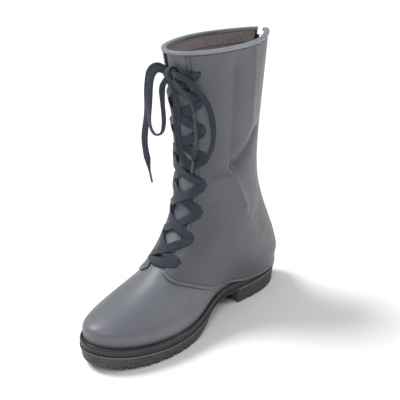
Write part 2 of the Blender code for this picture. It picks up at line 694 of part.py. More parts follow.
def build_lace_crossings(mat):
    """The lace over the facings in one run: down from one top hole, a bar, and up to the other.

    It narrows at each hole. The second strand passes over the first in the middle of each crossing.
    """
    levels = {side: eyelet_levels(side) for side in (1, -1)}
    turns = {side: eyelet_turns(levels[side], side) for side in (1, -1)}
    holes = [(1 if (EYELET_PAIRS - 1 - k) % 2 == 0 else -1, k) for k in range(EYELET_PAIRS - 1, -1, -1)]
    holes += [(-side, k) for side, k in reversed(holes)]
    base = QUARTER_GAP + QUARTER_WALL + LACE_THICK / 2 + LACE_LIFT
    shares = np.array([0.035, 0.13, 0.25, 0.38, 0.50, 0.62, 0.75, 0.87, 0.965])
    over = np.array([0.0, 0.0, 0.2, 1.0, 1.0, 1.0, 0.2, 0.0, 0.0]) * (LACE_THICK + LACE_LIFT)
    points, normals, widths = [], [], []

    def add(level, turn, offset, width):
        here = skin(level, turn, offset)
        beyond = skin(level, turn, offset + 0.001)
        points.append(here)
        normals.append(beyond - here)
        widths.append(width)

    def to_knot(hole, order):
        side, k = hole
        start = skin(levels[side][k], turns[side][k], base)
        normal = skin(levels[side][k], turns[side][k], base + 0.001) - start
        end = bow_place(KNOT_CENTRE) + np.array((side * (KNOT_RADII[0] + LACE_LIFT), 0, -KNOT_RADII[2] / 2))
        for share in order:
            points.append(start * (1 - share) + end * share + normal * KNOT_BOW * math.sin(math.pi * share))
            normals.append(normal)
            widths.append(LACE_TIP + (LEAD_WIDTH - LACE_TIP) * min(share * 2.5, 1))

    to_knot(holes[0], (1.0, 0.75, 0.45, 0.2))
    for i in range(len(holes) - 1):
        (side_a, a), (side_b, b) = holes[i], holes[i + 1]
        start = np.array([levels[side_a][a], turns[side_a][a]])
        end = np.array([levels[side_b][b], turns[side_b][b]])
        length = np.linalg.norm(skin(*start) - skin(*end))
        second = i >= EYELET_PAIRS
        add(*start, base, LACE_TIP)
        for share, lift in zip(shares, over):
            place = start * (1 - share) + end * share
            near = min(share, 1 - share) * length
            add(*place, base + lift * second, min(LACE_WIDTH, LACE_TIP + max(near - LACE_TIP, 0)))
    add(*end, base, LACE_TIP)
    to_knot(holes[-1], (0.2, 0.45, 0.75, 1.0))
    rings = ribbon_rings(points, np.array(normals), widths, LACE_THICK)
    return tube("lace_crossings", rings, mat)


def lace_curve(route):
    """Smooth curve through a route's places, with a station about every LACE_STEP."""
    route = bow_place(route)
    run = np.concatenate([[0], np.cumsum(np.linalg.norm(np.diff(route, axis=0), axis=1))])
    stations = max(int(run[-1] / LACE_STEP), 4)
    return spline(run, route, np.linspace(0, run[-1], stations + 1))


def build_lace_piece(name, route, faces_to, mat):
    """Flat free stretch of lace along a route; its flat side looks towards faces_to."""
    points = lace_curve(route)
    normals = np.tile(np.asarray(faces_to, float), (len(points), 1))
    along = np.gradient(points, axis=0)
    along /= np.linalg.norm(along, axis=1, keepdims=True)
    normals -= (normals * along).sum(1, keepdims=True) * along
    way = np.linspace(0, 1, len(points))
    widths = FREE_LACE_WIDTH * (1 - KNOT_TAPER * smooth(1 - np.minimum(way, 1 - way) / 0.12))
    return tube(name, ribbon_rings(points, normals, widths, LACE_THICK), mat)


def build_knot(mat):
    """Knot of the bow, a flattened round form before the top pair of eyelets."""
    bpy.ops.mesh.primitive_uv_sphere_add(segments=14, ring_count=8, radius=1.0)
    knot = bpy.context.object
    knot.name = "lace_knot"
    for vertex in knot.data.vertices:
        vertex.co = Vector([c * r for c, r in zip(vertex.co, KNOT_RADII)])
    knot.location = bow_place(KNOT_CENTRE)
    knot.data.materials.append(mat)
    return knot


def build_aglet(name, start, end, mat):
    """Hard sleeve at a lace's tip, just clear of the end of its stretch."""
    start, end = Vector(bow_place(start)), Vector(bow_place(end))
    axis = (end - start).normalized()
    middle = start + axis * (CLEARANCE + AGLET_LENGTH / 2)
    aglet = cylinder(name, AGLET_RADIUS, AGLET_LENGTH, middle, axis, 8)
    aglet.data.materials.append(mat)


def zip_grid(arcs, levels, offset):
    """Grid of points over the back: rows of levels, columns at arc lengths from the middle line."""
    columns = []
    for arc in arcs:
        side = 1 if arc >= 0 else -1
        columns.append(turn_at(levels, 0, side, np.full(len(levels), abs(arc))))
    turns = np.stack(columns, 1)
    return skin(np.repeat(levels[:, None], len(arcs), 1), turns, offset)


def slider_level():
    """Level of the zip's slider, a set drop under the collar."""
    levels = np.linspace(TOP_LEVEL - 1, TOP_LEVEL, 40)
    height = skin(levels, np.zeros(40))[:, 2]
    return float(np.interp(height[-1] - ZIP_SLIDER_DROP, height, levels))


def build_zip(tape_mat, metal_mat):
    """Zip in the back slot: tape that parts above the slider, coil teeth, slider and hanging pull."""
    top = slider_level()
    levels = np.array([ZIP_FOOT_LEVEL + 0.06, *np.arange(ZIP_FOOT_LEVEL + 0.5, top - 0.1, 0.5), top,
                       TOP_LEVEL - 0.15])
    half = TAPE_WIDTH / 2
    arcs = (-half, -TEETH_WIDTH / 2, TEETH_WIDTH / 2, half)
    outer = zip_grid(arcs, levels, -CLEARANCE)
    inner = zip_grid(arcs, levels, -CLEARANCE - TAPE_THICK)
    keep = np.ones((len(levels) - 1, 3), bool)
    keep[-1, 1] = False
    shell("zip_tape", outer, inner, tape_mat, keep)
    levels = levels[1:-1]
    arcs = (-TEETH_WIDTH / 2, TEETH_WIDTH / 2)
    shell("zip_teeth", zip_grid(arcs, levels, TEETH_THICK), zip_grid(arcs, levels, 0.0), tape_mat)

    centre = skin(top, 0.0)
    up = skin(top + 0.05, 0.0) - skin(top - 0.05, 0.0)
    up = Vector(up).normalized()
    out = (Vector(skin(top, 0.0, 1.0)) - Vector(centre)).normalized()

    def place(mesh_points, faces, name, mat):
        world = [Vector(centre) + Vector((p[0], 0, 0)) + out * p[1] + up * p[2] for p in mesh_points]
        return add_object(name, world, faces, mat)

    def box(x, o, z):
        corners = [(a, b, c) for a in x for b in o for c in z]
        faces = [(0, 1, 3, 2), (4, 6, 7, 5), (0, 4, 5, 1), (2, 3, 7, 6), (0, 2, 6, 4), (1, 5, 7, 3)]
        return corners, faces

    base = TEETH_THICK + 2 * CLEARANCE
    plate = place(*box((-SLIDER_WIDTH / 2, SLIDER_WIDTH / 2), (base, base + SLIDER_THICK),
                       (-SLIDER_HEIGHT, 0)), "zip_slider", metal_mat)
    pivot_out = base + SLIDER_THICK + PULL_EYE + 2 * CLEARANCE
    pivot_up = -SLIDER_HEIGHT * 0.35
    pivot = Vector(centre) + out * pivot_out + up * pivot_up
    for side in (-1, 1):
        x = (side * CHEEK_INSIDE, side * (CHEEK_INSIDE + CHEEK_THICK))
        cheek = place(*box(sorted(x), (base + SLIDER_THICK / 2, pivot_out + PULL_EYE * 0.7),
                           (pivot_up - PULL_EYE * 0.8, pivot_up + PULL_EYE * 0.8)),
                      f"cheek_{side}", metal_mat)
        combine(plate, cheek, "UNION")
    pin_length = 2 * CHEEK_INSIDE + CHEEK_THICK
    combine(plate, cylinder("pin", PIN_RADIUS, pin_length, pivot, (1, 0, 0), 10), "UNION")
    build_pull(pivot, metal_mat)


def build_pull(pivot, mat):
    """Pull tab hanging from the slider's pin: an eye round the pin, a neck and a round-ended tab."""
    profile = []
    for k in range(9):
        angle = math.pi + math.pi * k / 8
        profile.append((PULL_WIDTH / 2 * math.cos(angle), -PULL_LENGTH + PULL_WIDTH / 2 * (1 + math.sin(angle))))
    neck = 2 * CHEEK_INSIDE - 2 * CLEARANCE
    profile += [(PULL_WIDTH / 2, -PULL_EYE * 3.6), (neck / 2, -PULL_EYE * 2.4), (neck / 2, -PULL_EYE * 0.2)]
    profile += [(-neck / 2, -PULL_EYE * 0.2), (-neck / 2, -PULL_EYE * 2.4), (-PULL_WIDTH / 2, -PULL_EYE * 3.6)]
    count = len(profile)
    vertices = [(x, side * PULL_THICK / 2, z) for side in (-1, 1) for x, z in profile]
    faces = [list(range(count))[::-1], list(range(count, 2 * count))]
    faces += [(i, (i + 1) % count, (i + 1) % count + count, i + count) for i in range(count)]
    pull = add_object("zip_pull", vertices, faces, mat)
    pull.location = pivot
    combine(pull, cylinder("pull_eye", PULL_EYE, neck, pivot, (1, 0, 0), 16), "UNION")
    bore = PIN_RADIUS + CLEARANCE
    combine(pull, cylinder("pull_bore", bore, neck * 2, pivot, (1, 0, 0), 16), "DIFFERENCE")


def main():
    for obj in list(bpy.data.objects):
        bpy.data.objects.remove(obj)
    leather = material("smooth_pu_leather", "777982", 0.42)
    rubber = material("black_rubber", "2B292A", 0.55)
    tread = material("tread_rubber", "3F3E42", 0.7)
    felt = material("felt", "8B8687", 0.95)
    build_outsole(tread)
    build_midsole(rubber)
    build_insole(felt)
    build_upper(leather)
    build_quarter("quarter_outer", 1, leather)
    build_quarter("quarter_inner", -1, leather)
    build_binding(leather)
    tape = material("black_zip", "1D1D20", 0.6)
    metal = material("black_lacquer", "17181A", 0.35, 0.6)
    build_zip(tape, metal)
    lace = material("navy_lace", "3A4250", 0.85)
    tip = material("clear_tip", "5A6068", 0.3)
    build_lace_crossings(lace)
    build_knot(lace)
    for name, (faces_to, route) in LACE_ROUTES.items():
        build_lace_piece(name, route, faces_to, lace)
    for name, (start, end) in AGLETS.items():
        build_aglet(name, start, end, tip)


main()
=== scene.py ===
"""Looks of the calf-high lace-up boot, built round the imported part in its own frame.

Axes: +Y runs to the toe, +X to the outer side, +Z up. Every wall is a grid computed from
skin(level, turn, offset): a girth table read along the level, an oval read along the turn, moved
along its normal by the offset. relief() adds the creases of the photo, so all walls share them.
"""
import json
import math

import bmesh
import bpy
import numpy as np
from mathutils import Matrix, Vector

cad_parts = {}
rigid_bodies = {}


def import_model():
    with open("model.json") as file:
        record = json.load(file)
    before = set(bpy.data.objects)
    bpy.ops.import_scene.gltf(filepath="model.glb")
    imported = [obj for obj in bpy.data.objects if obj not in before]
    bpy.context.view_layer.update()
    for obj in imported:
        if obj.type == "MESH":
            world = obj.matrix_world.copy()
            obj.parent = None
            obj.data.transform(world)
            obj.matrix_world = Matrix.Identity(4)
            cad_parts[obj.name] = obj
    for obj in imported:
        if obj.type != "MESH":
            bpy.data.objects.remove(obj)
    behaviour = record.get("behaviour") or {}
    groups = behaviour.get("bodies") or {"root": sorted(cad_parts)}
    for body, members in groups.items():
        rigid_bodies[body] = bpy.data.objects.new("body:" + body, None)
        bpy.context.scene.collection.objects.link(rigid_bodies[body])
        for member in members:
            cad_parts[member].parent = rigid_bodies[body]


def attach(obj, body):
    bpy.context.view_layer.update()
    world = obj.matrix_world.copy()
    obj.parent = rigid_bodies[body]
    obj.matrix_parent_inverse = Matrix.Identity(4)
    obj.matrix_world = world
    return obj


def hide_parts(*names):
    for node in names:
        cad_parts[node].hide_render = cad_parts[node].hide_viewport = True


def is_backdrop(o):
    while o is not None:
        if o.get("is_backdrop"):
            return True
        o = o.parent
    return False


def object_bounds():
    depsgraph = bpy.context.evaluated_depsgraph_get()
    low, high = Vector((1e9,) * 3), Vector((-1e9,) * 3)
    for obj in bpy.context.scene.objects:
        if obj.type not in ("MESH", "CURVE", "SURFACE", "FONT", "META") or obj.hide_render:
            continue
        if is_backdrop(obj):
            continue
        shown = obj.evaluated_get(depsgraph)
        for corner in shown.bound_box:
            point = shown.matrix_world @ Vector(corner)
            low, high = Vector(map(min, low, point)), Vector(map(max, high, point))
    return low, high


# Driving sizes
SOLE_LENGTH = 0.297
BALL_WIDTH = 0.104
BOOT_HEIGHT = 0.303
HEEL_CENTRE = 0.050
UPPER_WALL = 0.0016
QUARTER_WALL = 0.0013
QUARTER_GAP = 0.0009
CLEARANCE = 0.0003

# Sole
SOLE_LINE = 0.025
MIDSOLE_THICK = 0.0078
WELT_LEDGE = 0.0038
LEDGE_GROOVE = 0.0007
LUG_DEPTH = 0.0022
LUG_GROOVE = 0.0030
LUG_FLANK = 0.0004
NOTCH_DEPTH = 0.0014
# In millimetres
NOTCH_PITCH = 5.5

# Lacing
EYELET_PAIRS = 8
EYELET_RADIUS = 0.0023
FACING_GAP_TOP = 0.0270
FACING_GAP_FOOT = 0.0220
EYELET_INSET = 0.0105
EYELET_TOP_MARGIN = 0.0210
EYELET_FOOT_MARGIN = 0.0120
LACE_WIDTH = 0.0092
LACE_THICK = 0.0012
AGLET_LENGTH = 0.0130
LACE_LIFT = 0.0008
LACE_PINCH = 0.0040
LACE_SPREAD = 1.5
FREE_LACE_WIDTH = 0.0072
AGLET_RADIUS = 0.0012
PUNCH_LENGTH = 0.012
# In turns: how far the lace passes beyond a hole's centre before it dives
TIP_OVER = 0.0046

# Bow, hanging before the top pair of eyelets; its places are chosen. They are in thousandths:
# of BALL_WIDTH from the middle line, of SOLE_LENGTH from the heel's end, and of BOOT_HEIGHT above
# SOLE_LINE. Each stretch has the direction that its flat side faces and its route.
KNOT_CENTRE = (-28.8, 580.8, 838.3)
KNOT_RADII = (0.0085, 0.0062, 0.0062)
LACE_ROUTES = {
    "lace_loop_outer": ((0.79, -0.62, 0.0), 60, (
        (23.1, 596.3, 846.5), (62.5, 612.8, 853.1), (91.3, 622.9, 843.2), (110.6, 631.3, 815.2),
        (117.3, 634.7, 769.0), (121.2, 636.4, 722.8), (121.2, 636.4, 683.2), (108.7, 630.6, 651.8),
        (79.8, 619.5, 635.3), (48.1, 609.4, 638.6), (26.9, 602.7, 660.1), (23.1, 601.3, 693.1),
        (27.9, 603.4, 732.7), (30.8, 604.7, 772.3), (25.0, 602.7, 802.0), (-1.9, 594.3, 822.1))),
    "lace_end_outer": ((0.79, -0.62, 0.0), 45, (
        (47.1, 580.8, 850.5), (105.8, 597.6, 861.4), (144.2, 612.8, 851.5), (163.5, 621.2, 821.8),
        (173.1, 625.6, 769.0), (178.8, 628.3, 716.2), (186.5, 631.6, 666.7), (194.2, 635.7, 627.1),
        (192.3, 634.7, 587.5), (178.8, 629.6, 544.6), (167.3, 624.9, 505.0))),
    "lace_loop_inner": ((-0.45, 0.85, 0.0), 35, (
        (-98.1, 596.0, 839.6), (-173.1, 590.9, 835.0), (-235.6, 570.7, 816.8), (-283.7, 543.8, 782.2),
        (-326.9, 525.3, 749.2), (-351.0, 511.8, 709.6), (-360.6, 503.4, 663.4), (-351.0, 501.7, 613.9),
        (-322.1, 506.7, 571.0), (-269.2, 516.8, 541.3), (-197.1, 532.0, 529.7), (-125.0, 543.8, 536.3),
        (-72.1, 552.2, 566.0), (-48.1, 557.2, 613.9), (-52.9, 564.0, 679.9), (-62.5, 572.4, 745.9),
        (-62.5, 580.8, 792.1), (-51.9, 582.2, 817.5))),
    "lace_end_inner": ((-0.45, 0.85, 0.0), 60, (
        (-76.9, 594.6, 820.8), (-158.7, 594.6, 798.7), (-216.3, 579.8, 770.6), (-250.0, 564.0, 732.7),
        (-254.8, 553.9, 683.2), (-250.0, 547.1, 630.4), (-235.6, 547.1, 584.2), (-221.2, 550.5, 551.2))),
}
AGLETS = {
    "aglet_outer": ((167.3, 624.9, 504.6), (148.1, 616.8, 445.5)),
    "aglet_inner": ((-221.2, 550.5, 550.5), (-206.7, 553.9, 505.0)),
}

# Camera, from the photo's own viewpoint, and light
CAMERA_PLACE = (-0.48265, 0.63684, 0.41810)
CAMERA_AIM = (-0.0110, 0.0890, 0.1390)
CAMERA_LENS = 65.0
WORLD_LIGHT = 0.38
EXPOSURE = 0.0
SUN_FROM = (1.05, 0.45, 1.75)
SUN_STRENGTH = 2.9
SUN_SOFTNESS = 0.45
LIGHTS = (
    # name, place, aim, size, power, colour
    ("front", (-0.80, 1.25, 1.60), (0, 0.08, 0.10), 0.8, 10.0, (1.0, 1.0, 1.0)),
    ("rim", (-1.30, -1.00, 0.90), (0, 0.00, 0.18), 0.5, 6.5, (1.0, 0.95, 0.88)),
)

# Collar binding
BINDING_WALL = 0.0007
ROLL_DEPTH = 0.0024

# Zip at the back
ZIP_FOOT_LEVEL = 6
ZIP_SLIDER_DROP = 0.0150
ZIP_SLOT = 0.0068
ZIP_SPREAD = 0.0100
TAPE_WIDTH = 0.0144
TAPE_THICK = 0.0010
TEETH_WIDTH = 0.0036
# In millimetres, from a tooth to the next on the other side
TEETH_PITCH = 1.1

# Hem of the quarters
HEM_CLEARANCE = 0.0006
HEM_DROP = 0.0060
FLARE_LEVELS = 1.0

# Edges and seams, in millimetres: where each seam lies, half its width, and the stitches' pitch
RIM_ROUND = 0.9
SEAM_INSET = 4.4
SEAM_HALF = 0.95
COLLAR_SEAM = 3.0
COLLAR_SEAM_HALF = 1.1
STITCH_PITCH = 3.0
LINING_SEAM = 16.0

# Girths of the upper, from the feather line to the collar. Front and back are shares of SOLE_LENGTH
# from the heel's end, the rises are shares of BOOT_HEIGHT above SOLE_LINE. The four widths are half
# widths of an oval that would pass there, as shares of BALL_WIDTH. Follow says how much of the
# sole's own rise and waist the girth keeps, and lean how far its front lies to the inner side.
GIRTH_COLUMNS = (
    "front", "back", "front_rise", "back_rise", "heel", "waist", "ball", "toe", "follow", "lean")
GIRTHS = (
    ("feather", 0.9850, 0.0135, 0.0000, 0.0000, 0.410, 0.298, 0.478, 0.525, 1.00, 0.000),
    ("wall",    0.9900, -.0118, 0.0400, 0.0400, 0.430, 0.337, 0.492, 0.535, 1.00, 0.000),
    ("crown",   0.9660, -.0067, 0.0690, 0.0860, 0.423, 0.365, 0.458, 0.475, 0.80, 0.006),
    ("vamp",    0.9060, 0.0084, 0.0920, 0.1350, 0.406, 0.375, 0.408, 0.405, 0.50, 0.020),
    ("ball",    0.8215, 0.0270, 0.1140, 0.1750, 0.394, 0.378, 0.382, 0.372, 0.25, 0.038),
    ("instep",  0.7340, 0.0490, 0.1500, 0.2180, 0.380, 0.372, 0.366, 0.362, 0.10, 0.052),
    ("throat",  0.6530, 0.0740, 0.2080, 0.2640, 0.361, 0.362, 0.358, 0.356, 0.00, 0.050),
    ("bend",    0.5790, 0.0993, 0.2855, 0.3200, 0.332, 0.351, 0.351, 0.346, 0.00, 0.038),
    ("ankle",   0.5350, 0.1240, 0.3730, 0.3930, 0.306, 0.337, 0.341, 0.337, 0.00, 0.026),
    ("shin",    0.5170, 0.1320, 0.4720, 0.4820, 0.290, 0.332, 0.341, 0.337, 0.00, 0.020),
    ("calf",    0.5220, 0.1230, 0.6040, 0.6110, 0.292, 0.346, 0.356, 0.356, 0.00, 0.020),
    ("top",     0.5420, 0.0960, 0.7590, 0.7740, 0.292, 0.365, 0.380, 0.380, 0.00, 0.020),
    ("collar",  0.5710, 0.0690, 0.9070, 0.9320, 0.290, 0.370, 0.389, 0.394, 0.00, 0.020),
)
WIDTH_STATIONS = (0.14, 0.40, 0.68, 0.90)
TOP_LEVEL = len(GIRTHS) - 1

# Outline of the sole in plan, in the same four widths, and the outward swing of the waist.
SOLE_WIDTHS = (0.452, 0.334, 0.518, 0.580)
WAIST_SWING = 0.048
WAIST_PLACE = 0.42
WAIST_SPAN = 0.13

# Heights along the sole, as shares of SOLE_LENGTH from the heel's end, and of SOLE_LINE above the
# floor: the midsole's top and the outsole's ground face.
SOLE_HEIGHTS = (
    # place, top, ground
    (0.00, 1.20, 0.030),
    (0.05, 1.19, 0.000),
    (0.16, 1.18, 0.000),
    (0.29, 1.15, 0.000),
    (0.45, 1.06, 0.000),
    (0.60, 0.93, 0.000),
    (0.72, 0.89, 0.000),
    (0.84, 0.93, 0.010),
    (0.93, 1.04, 0.120),
    (1.00, 1.20, 0.330),
)
HEEL_BREAST = 0.305
BREAST_SLOPE = 0.012
ARCH_END = 0.615
ARCH_RISE = 0.62
HEEL_LUGS = (0.06, 0.11, 0.205, 0.255)
FOREFOOT_LUGS = (0.655, 0.70, 0.745, 0.79, 0.835, 0.88, 0.925)

# Hem of the quarters: way from the facing to the back seam, and the level there.
HEM = (
    (0.00, 5.42),
    (0.12, 4.85),
    (0.27, 3.90),
    (0.43, 2.10),
    (0.53, 0.85),
    (0.61, 0.10),
    (0.72, -0.50),
    (1.00, -0.60),
)


def spline(knots, values, at):
    """Natural cubic spline through the values at the knots; past the ends it runs straight on."""
    knots = np.asarray(knots, float)
    values = np.asarray(values, float)
    at = np.asarray(at, float)
    table = values.reshape(len(knots), -1)
    gap = np.diff(knots)
    slope = np.diff(table, axis=0) / gap[:, None]
    matrix = np.eye(len(knots))
    right = np.zeros_like(table)
    for i in range(1, len(knots) - 1):
        matrix[i, i - 1:i + 2] = gap[i - 1], 2 * (gap[i - 1] + gap[i]), gap[i]
        right[i] = 6 * (slope[i] - slope[i - 1])
    bend = np.linalg.solve(matrix, right)
    inside = np.clip(at, knots[0], knots[-1]).ravel()
    i = np.clip(np.searchsorted(knots, inside, side="right") - 1, 0, len(gap) - 1)
    h = gap[i][:, None]
    a = (knots[i + 1] - inside)[:, None] / h
    b = 1 - a
    y = a * table[i] + b * table[i + 1]
    y += ((a ** 3 - a) * bend[i] + (b ** 3 - b) * bend[i + 1]) * h ** 2 / 6
    first = slope[0] - gap[0] * (2 * bend[0] + bend[1]) / 6
    last = slope[-1] + gap[-1] * (bend[-2] + 2 * bend[-1]) / 6
    over = (at.ravel() - inside)[:, None]
    y += np.where(over < 0, over * first, over * last)
    return y.reshape(at.shape + values.shape[1:])


def smooth(x):
    """Step from 0 to 1 with level ends."""
    x = np.clip(x, 0.0, 1.0)
    return x * x * (3 - 2 * x)


def unit(vectors):
    return vectors / np.linalg.norm(vectors, axis=-1, keepdims=True)


def distance(points):
    """Distance along a line of points, from 0."""
    return np.concatenate([[0], np.cumsum(np.linalg.norm(np.diff(points, axis=0), axis=1))])


def column(name):
    return GIRTH_COLUMNS.index(name)


GIRTH_TABLE = np.array([row[1:] for row in GIRTHS])
STATION_WEIGHTS = np.eye(len(WIDTH_STATIONS))
HEIGHT_TABLE = np.array(SOLE_HEIGHTS)


def waist_swing(share):
    """How far the foot's middle swings outwards at a share of its length."""
    return WAIST_SWING * BALL_WIDTH * np.exp(-((share - WAIST_PLACE) / WAIST_SPAN) ** 2)


def sole_top(y):
    """Height of the midsole's top at a place along the foot."""
    share = (y + HEEL_CENTRE) / SOLE_LENGTH
    return SOLE_LINE * spline(HEIGHT_TABLE[:, 0], HEIGHT_TABLE[:, 1], share)


def ground(y):
    """Height of the outsole's ground face: flat heel and ball, raised arch, toe spring."""
    share = (y + HEEL_CENTRE) / SOLE_LENGTH
    base = SOLE_LINE * np.maximum(np.interp(share, HEIGHT_TABLE[:, 0], HEIGHT_TABLE[:, 2]), 0)
    into = smooth((share - HEEL_BREAST) / BREAST_SLOPE)
    fall = 1 - smooth((share - HEEL_BREAST - 0.10) / (ARCH_END - HEEL_BREAST - 0.10))
    return base + ARCH_RISE * SOLE_LINE * into * fall


def skin(level, turn, offset=0.0):
    """Points of the boot's outer form, moved outwards by offset.

    Each girth is an oval with its own half width at every share of its length, read between the
    rows of GIRTHS, and the offset goes along the surface's normal.
    """
    level, turn, offset = np.broadcast_arrays(
        np.asarray(level, float), np.asarray(turn, float), np.asarray(offset, float))

    def bare(lev, trn):
        row = spline(np.arange(len(GIRTHS)), GIRTH_TABLE, lev)
        angle = 2 * math.pi * trn
        share = (1 - np.cos(angle)) / 2
        weights = spline(WIDTH_STATIONS, STATION_WEIGHTS, share)
        half = (weights * row[..., column("heel"):column("toe") + 1]).sum(-1) * BALL_WIDTH
        along = row[..., column("back")] * (1 - share) + row[..., column("front")] * share
        y = along * SOLE_LENGTH - HEEL_CENTRE
        follow = row[..., column("follow")]
        lean = row[..., column("lean")] * BALL_WIDTH * share ** 2
        x = half * np.sin(angle) + follow * waist_swing(along) - lean
        rise = row[..., column("back_rise")] * (1 - share) + row[..., column("front_rise")] * share
        z = SOLE_LINE + follow * (sole_top(y) - SOLE_LINE) + rise * BOOT_HEIGHT
        return np.stack([x, y, z], -1)

    step = 1e-3
    point = bare(level, turn)
    up = bare(level + step, turn) - bare(level - step, turn)
    round_ = bare(level, turn + step) - bare(level, turn - step)
    normal = np.cross(round_, up)
    normal = unit(normal)
    return point + normal * offset[..., None]


def sole_edge(turn, inset=0.0):
    """Outline of the sole in plan, moved inwards by inset; the same turns as skin()."""
    def bare(trn):
        angle = 2 * math.pi * np.asarray(trn, float)
        share = (1 - np.cos(angle)) / 2
        half = spline(WIDTH_STATIONS, SOLE_WIDTHS, share) * BALL_WIDTH
        x = half * np.sin(angle) + waist_swing(share)
        return np.stack([x, share * SOLE_LENGTH - HEEL_CENTRE], -1)

    step = 1e-3
    along = bare(turn + step) - bare(turn - step)
    along = unit(along)
    inward = np.stack([-along[..., 1], along[..., 0]], -1)
    return bare(turn) + inward * np.asarray(inset)[..., None]


def turn_at(level, start, side, arc):
    """Turn at an arc length from the front (start 0.5) or back (start 0) towards side +1 or -1."""
    away = np.linspace(0, 0.25, 81)
    sign = side if start == 0 else -side
    level, arc = np.broadcast_arrays(np.atleast_1d(np.asarray(level, float)), np.asarray(arc, float))
    turns = np.empty(len(level))
    for i, lev in enumerate(level):
        line = skin(np.full_like(away, lev), start + sign * away)
        run = distance(line)
        turns[i] = start + sign * np.interp(arc[i], run, away)
    return turns


def mirrored_turns(half_turns):
    """Turns from 0 to 0.5 and the same places back along the other side."""
    half_turns = np.asarray(half_turns)
    return np.concatenate([half_turns, 1 - half_turns[-2:0:-1]])


def turns_at_shares(shares):
    return np.arccos(1 - 2 * np.clip(np.asarray(shares), 0, 1)) / (2 * math.pi)


def facing_gap(level):
    """Gap between the facings."""
    low = HEM[0][1]
    return FACING_GAP_FOOT + (FACING_GAP_TOP - FACING_GAP_FOOT) * (level - low) / (TOP_LEVEL - low)


def facing_turn(level, side):
    """Turn of a facing's front edge."""
    return turn_at(level, 0.5, side, facing_gap(level) / 2)


def back_gap(level):
    """Half the gap between the quarters at the back: a seam, then the zip's slot, spread at the top."""
    slot = smooth((level - ZIP_FOOT_LEVEL) / 0.4) * (ZIP_SLOT / 2 - CLEARANCE / 2)
    spread = smooth(level - TOP_LEVEL + 1) * (ZIP_SPREAD - ZIP_SLOT) / 2
    return CLEARANCE / 2 + slot + spread


def eyelet_levels(side):
    """Levels of the eyelets, evenly spaced along the facing."""
    levels = np.linspace(HEM[0][1], TOP_LEVEL, 121)
    line = skin(levels, facing_turn(levels, side))
    run = distance(line)
    stops = np.linspace(EYELET_FOOT_MARGIN, run[-1] - EYELET_TOP_MARGIN, EYELET_PAIRS)
    return np.interp(stops, run, levels)


def eyelet_turns(levels, side):
    return turn_at(levels, 0.5, side, facing_gap(levels) / 2 + EYELET_INSET)


def bow_place(places):
    """Points in metres from places in the bow's tables."""
    return np.asarray(places, float) / 1000 * (BALL_WIDTH, SOLE_LENGTH, BOOT_HEIGHT) + (
        0, -HEEL_CENTRE, SOLE_LINE)


# Creases. Each fold is a straight trough or ridge between two places of the skin (turn, level).
# Its height and its two widths are in millimetres: seen from outside, the first width is on the
# left of the run.
FOLDS = (
    # turn, level, turn, level, left, right, height
    (0.835, 9.98, 0.684, 9.16, 9.0, 5.5, -5.6),
    (0.684, 9.22, 0.768, 7.25, 3.6, 8.0, 3.3),
    (0.706, 9.34, 0.668, 8.98, 2.2, 2.2, -1.6),
    (0.690, 8.95, 0.615, 8.86, 3.6, 5.0, 1.5),
    (0.697, 11.7, 0.690, 9.60, 9.0, 6.0, -2.2),
    (0.765, 11.8, 0.770, 10.1, 5.0, 5.0, 1.4),
    (0.640, 7.90, 0.690, 6.30, 8.0, 8.0, 1.0),
    (0.800, 6.60, 0.850, 4.60, 9.0, 7.0, -0.9),
    (0.195, 9.80, 0.300, 9.20, 3.4, 7.0, -2.8),
    (0.300, 9.20, 0.235, 7.40, 6.0, 3.2, 1.8),
    (0.290, 11.7, 0.300, 9.70, 10.0, 10.0, -1.3),
    (0.400, 4.30, 0.600, 4.30, 6.0, 6.0, -0.5),
)
FOLD_SOFTNESS = 0.30


def relief(place):
    """Height of the creases in metres: height * exp(k - sqrt(s^2 + k^2)), k being FOLD_SOFTNESS.

    s is the distance across the fold in widths of its own side, and the fold fades towards its ends.
    """
    height = np.zeros(place.shape[:-1])
    for turn_a, level_a, turn_b, level_b, left, right, most in FOLDS:
        a, b = skin(level_a, turn_a), skin(level_b, turn_b)
        middle = (a + b) / 2
        run = (b - a) / np.linalg.norm(b - a)
        out = skin((level_a + level_b) / 2, (turn_a + turn_b) / 2, 1.0) - skin(
            (level_a + level_b) / 2, (turn_a + turn_b) / 2)
        off = place - middle
        s = (off @ np.cross(out, run)) * 1000
        s = np.where(s > 0, s / left, s / right)
        t = np.abs(off @ run) / (np.linalg.norm(b - a) / 2)
        gate = np.exp(-(np.maximum(t - 0.80, 0) / 0.26) ** 2) * np.exp(-((off @ out) / 0.030) ** 2)
        height += gate * most * np.exp(FOLD_SOFTNESS - np.sqrt(s ** 2 + FOLD_SOFTNESS ** 2)) / 1000
    return height


def form(level, turn, offset=0.0):
    """skin() with the creases."""
    plain = skin(level, turn, offset)
    return skin(level, turn, offset + relief(plain))


def quarter_wall(level, turn, layer):
    """Quarter's wall at a height layer over its inner face; low down it flares over the sole's edge."""
    held = np.maximum(level, 0)
    body = form(held, turn, QUARTER_GAP + layer)
    edge = sole_edge(turn, -(HEM_CLEARANCE + layer))
    near = smooth(1 - held / FLARE_LEVELS)[..., None]
    place = body[..., :2] * (1 - near) + edge * near
    height = body[..., 2] + np.minimum(level, 0) * HEM_DROP
    return np.concatenate([place, height[..., None]], -1)


# Meshes

def grid_faces(rows, columns, close_columns=False):
    """Quads of a grid as an array (count, 4)."""
    r = np.arange(rows - 1)[:, None]
    c = np.arange(columns if close_columns else columns - 1)[None, :]
    d = (c + 1) % columns
    quads = np.stack([r * columns + c, r * columns + d, (r + 1) * columns + d, (r + 1) * columns + c], -1)
    return quads.reshape(-1, 4)


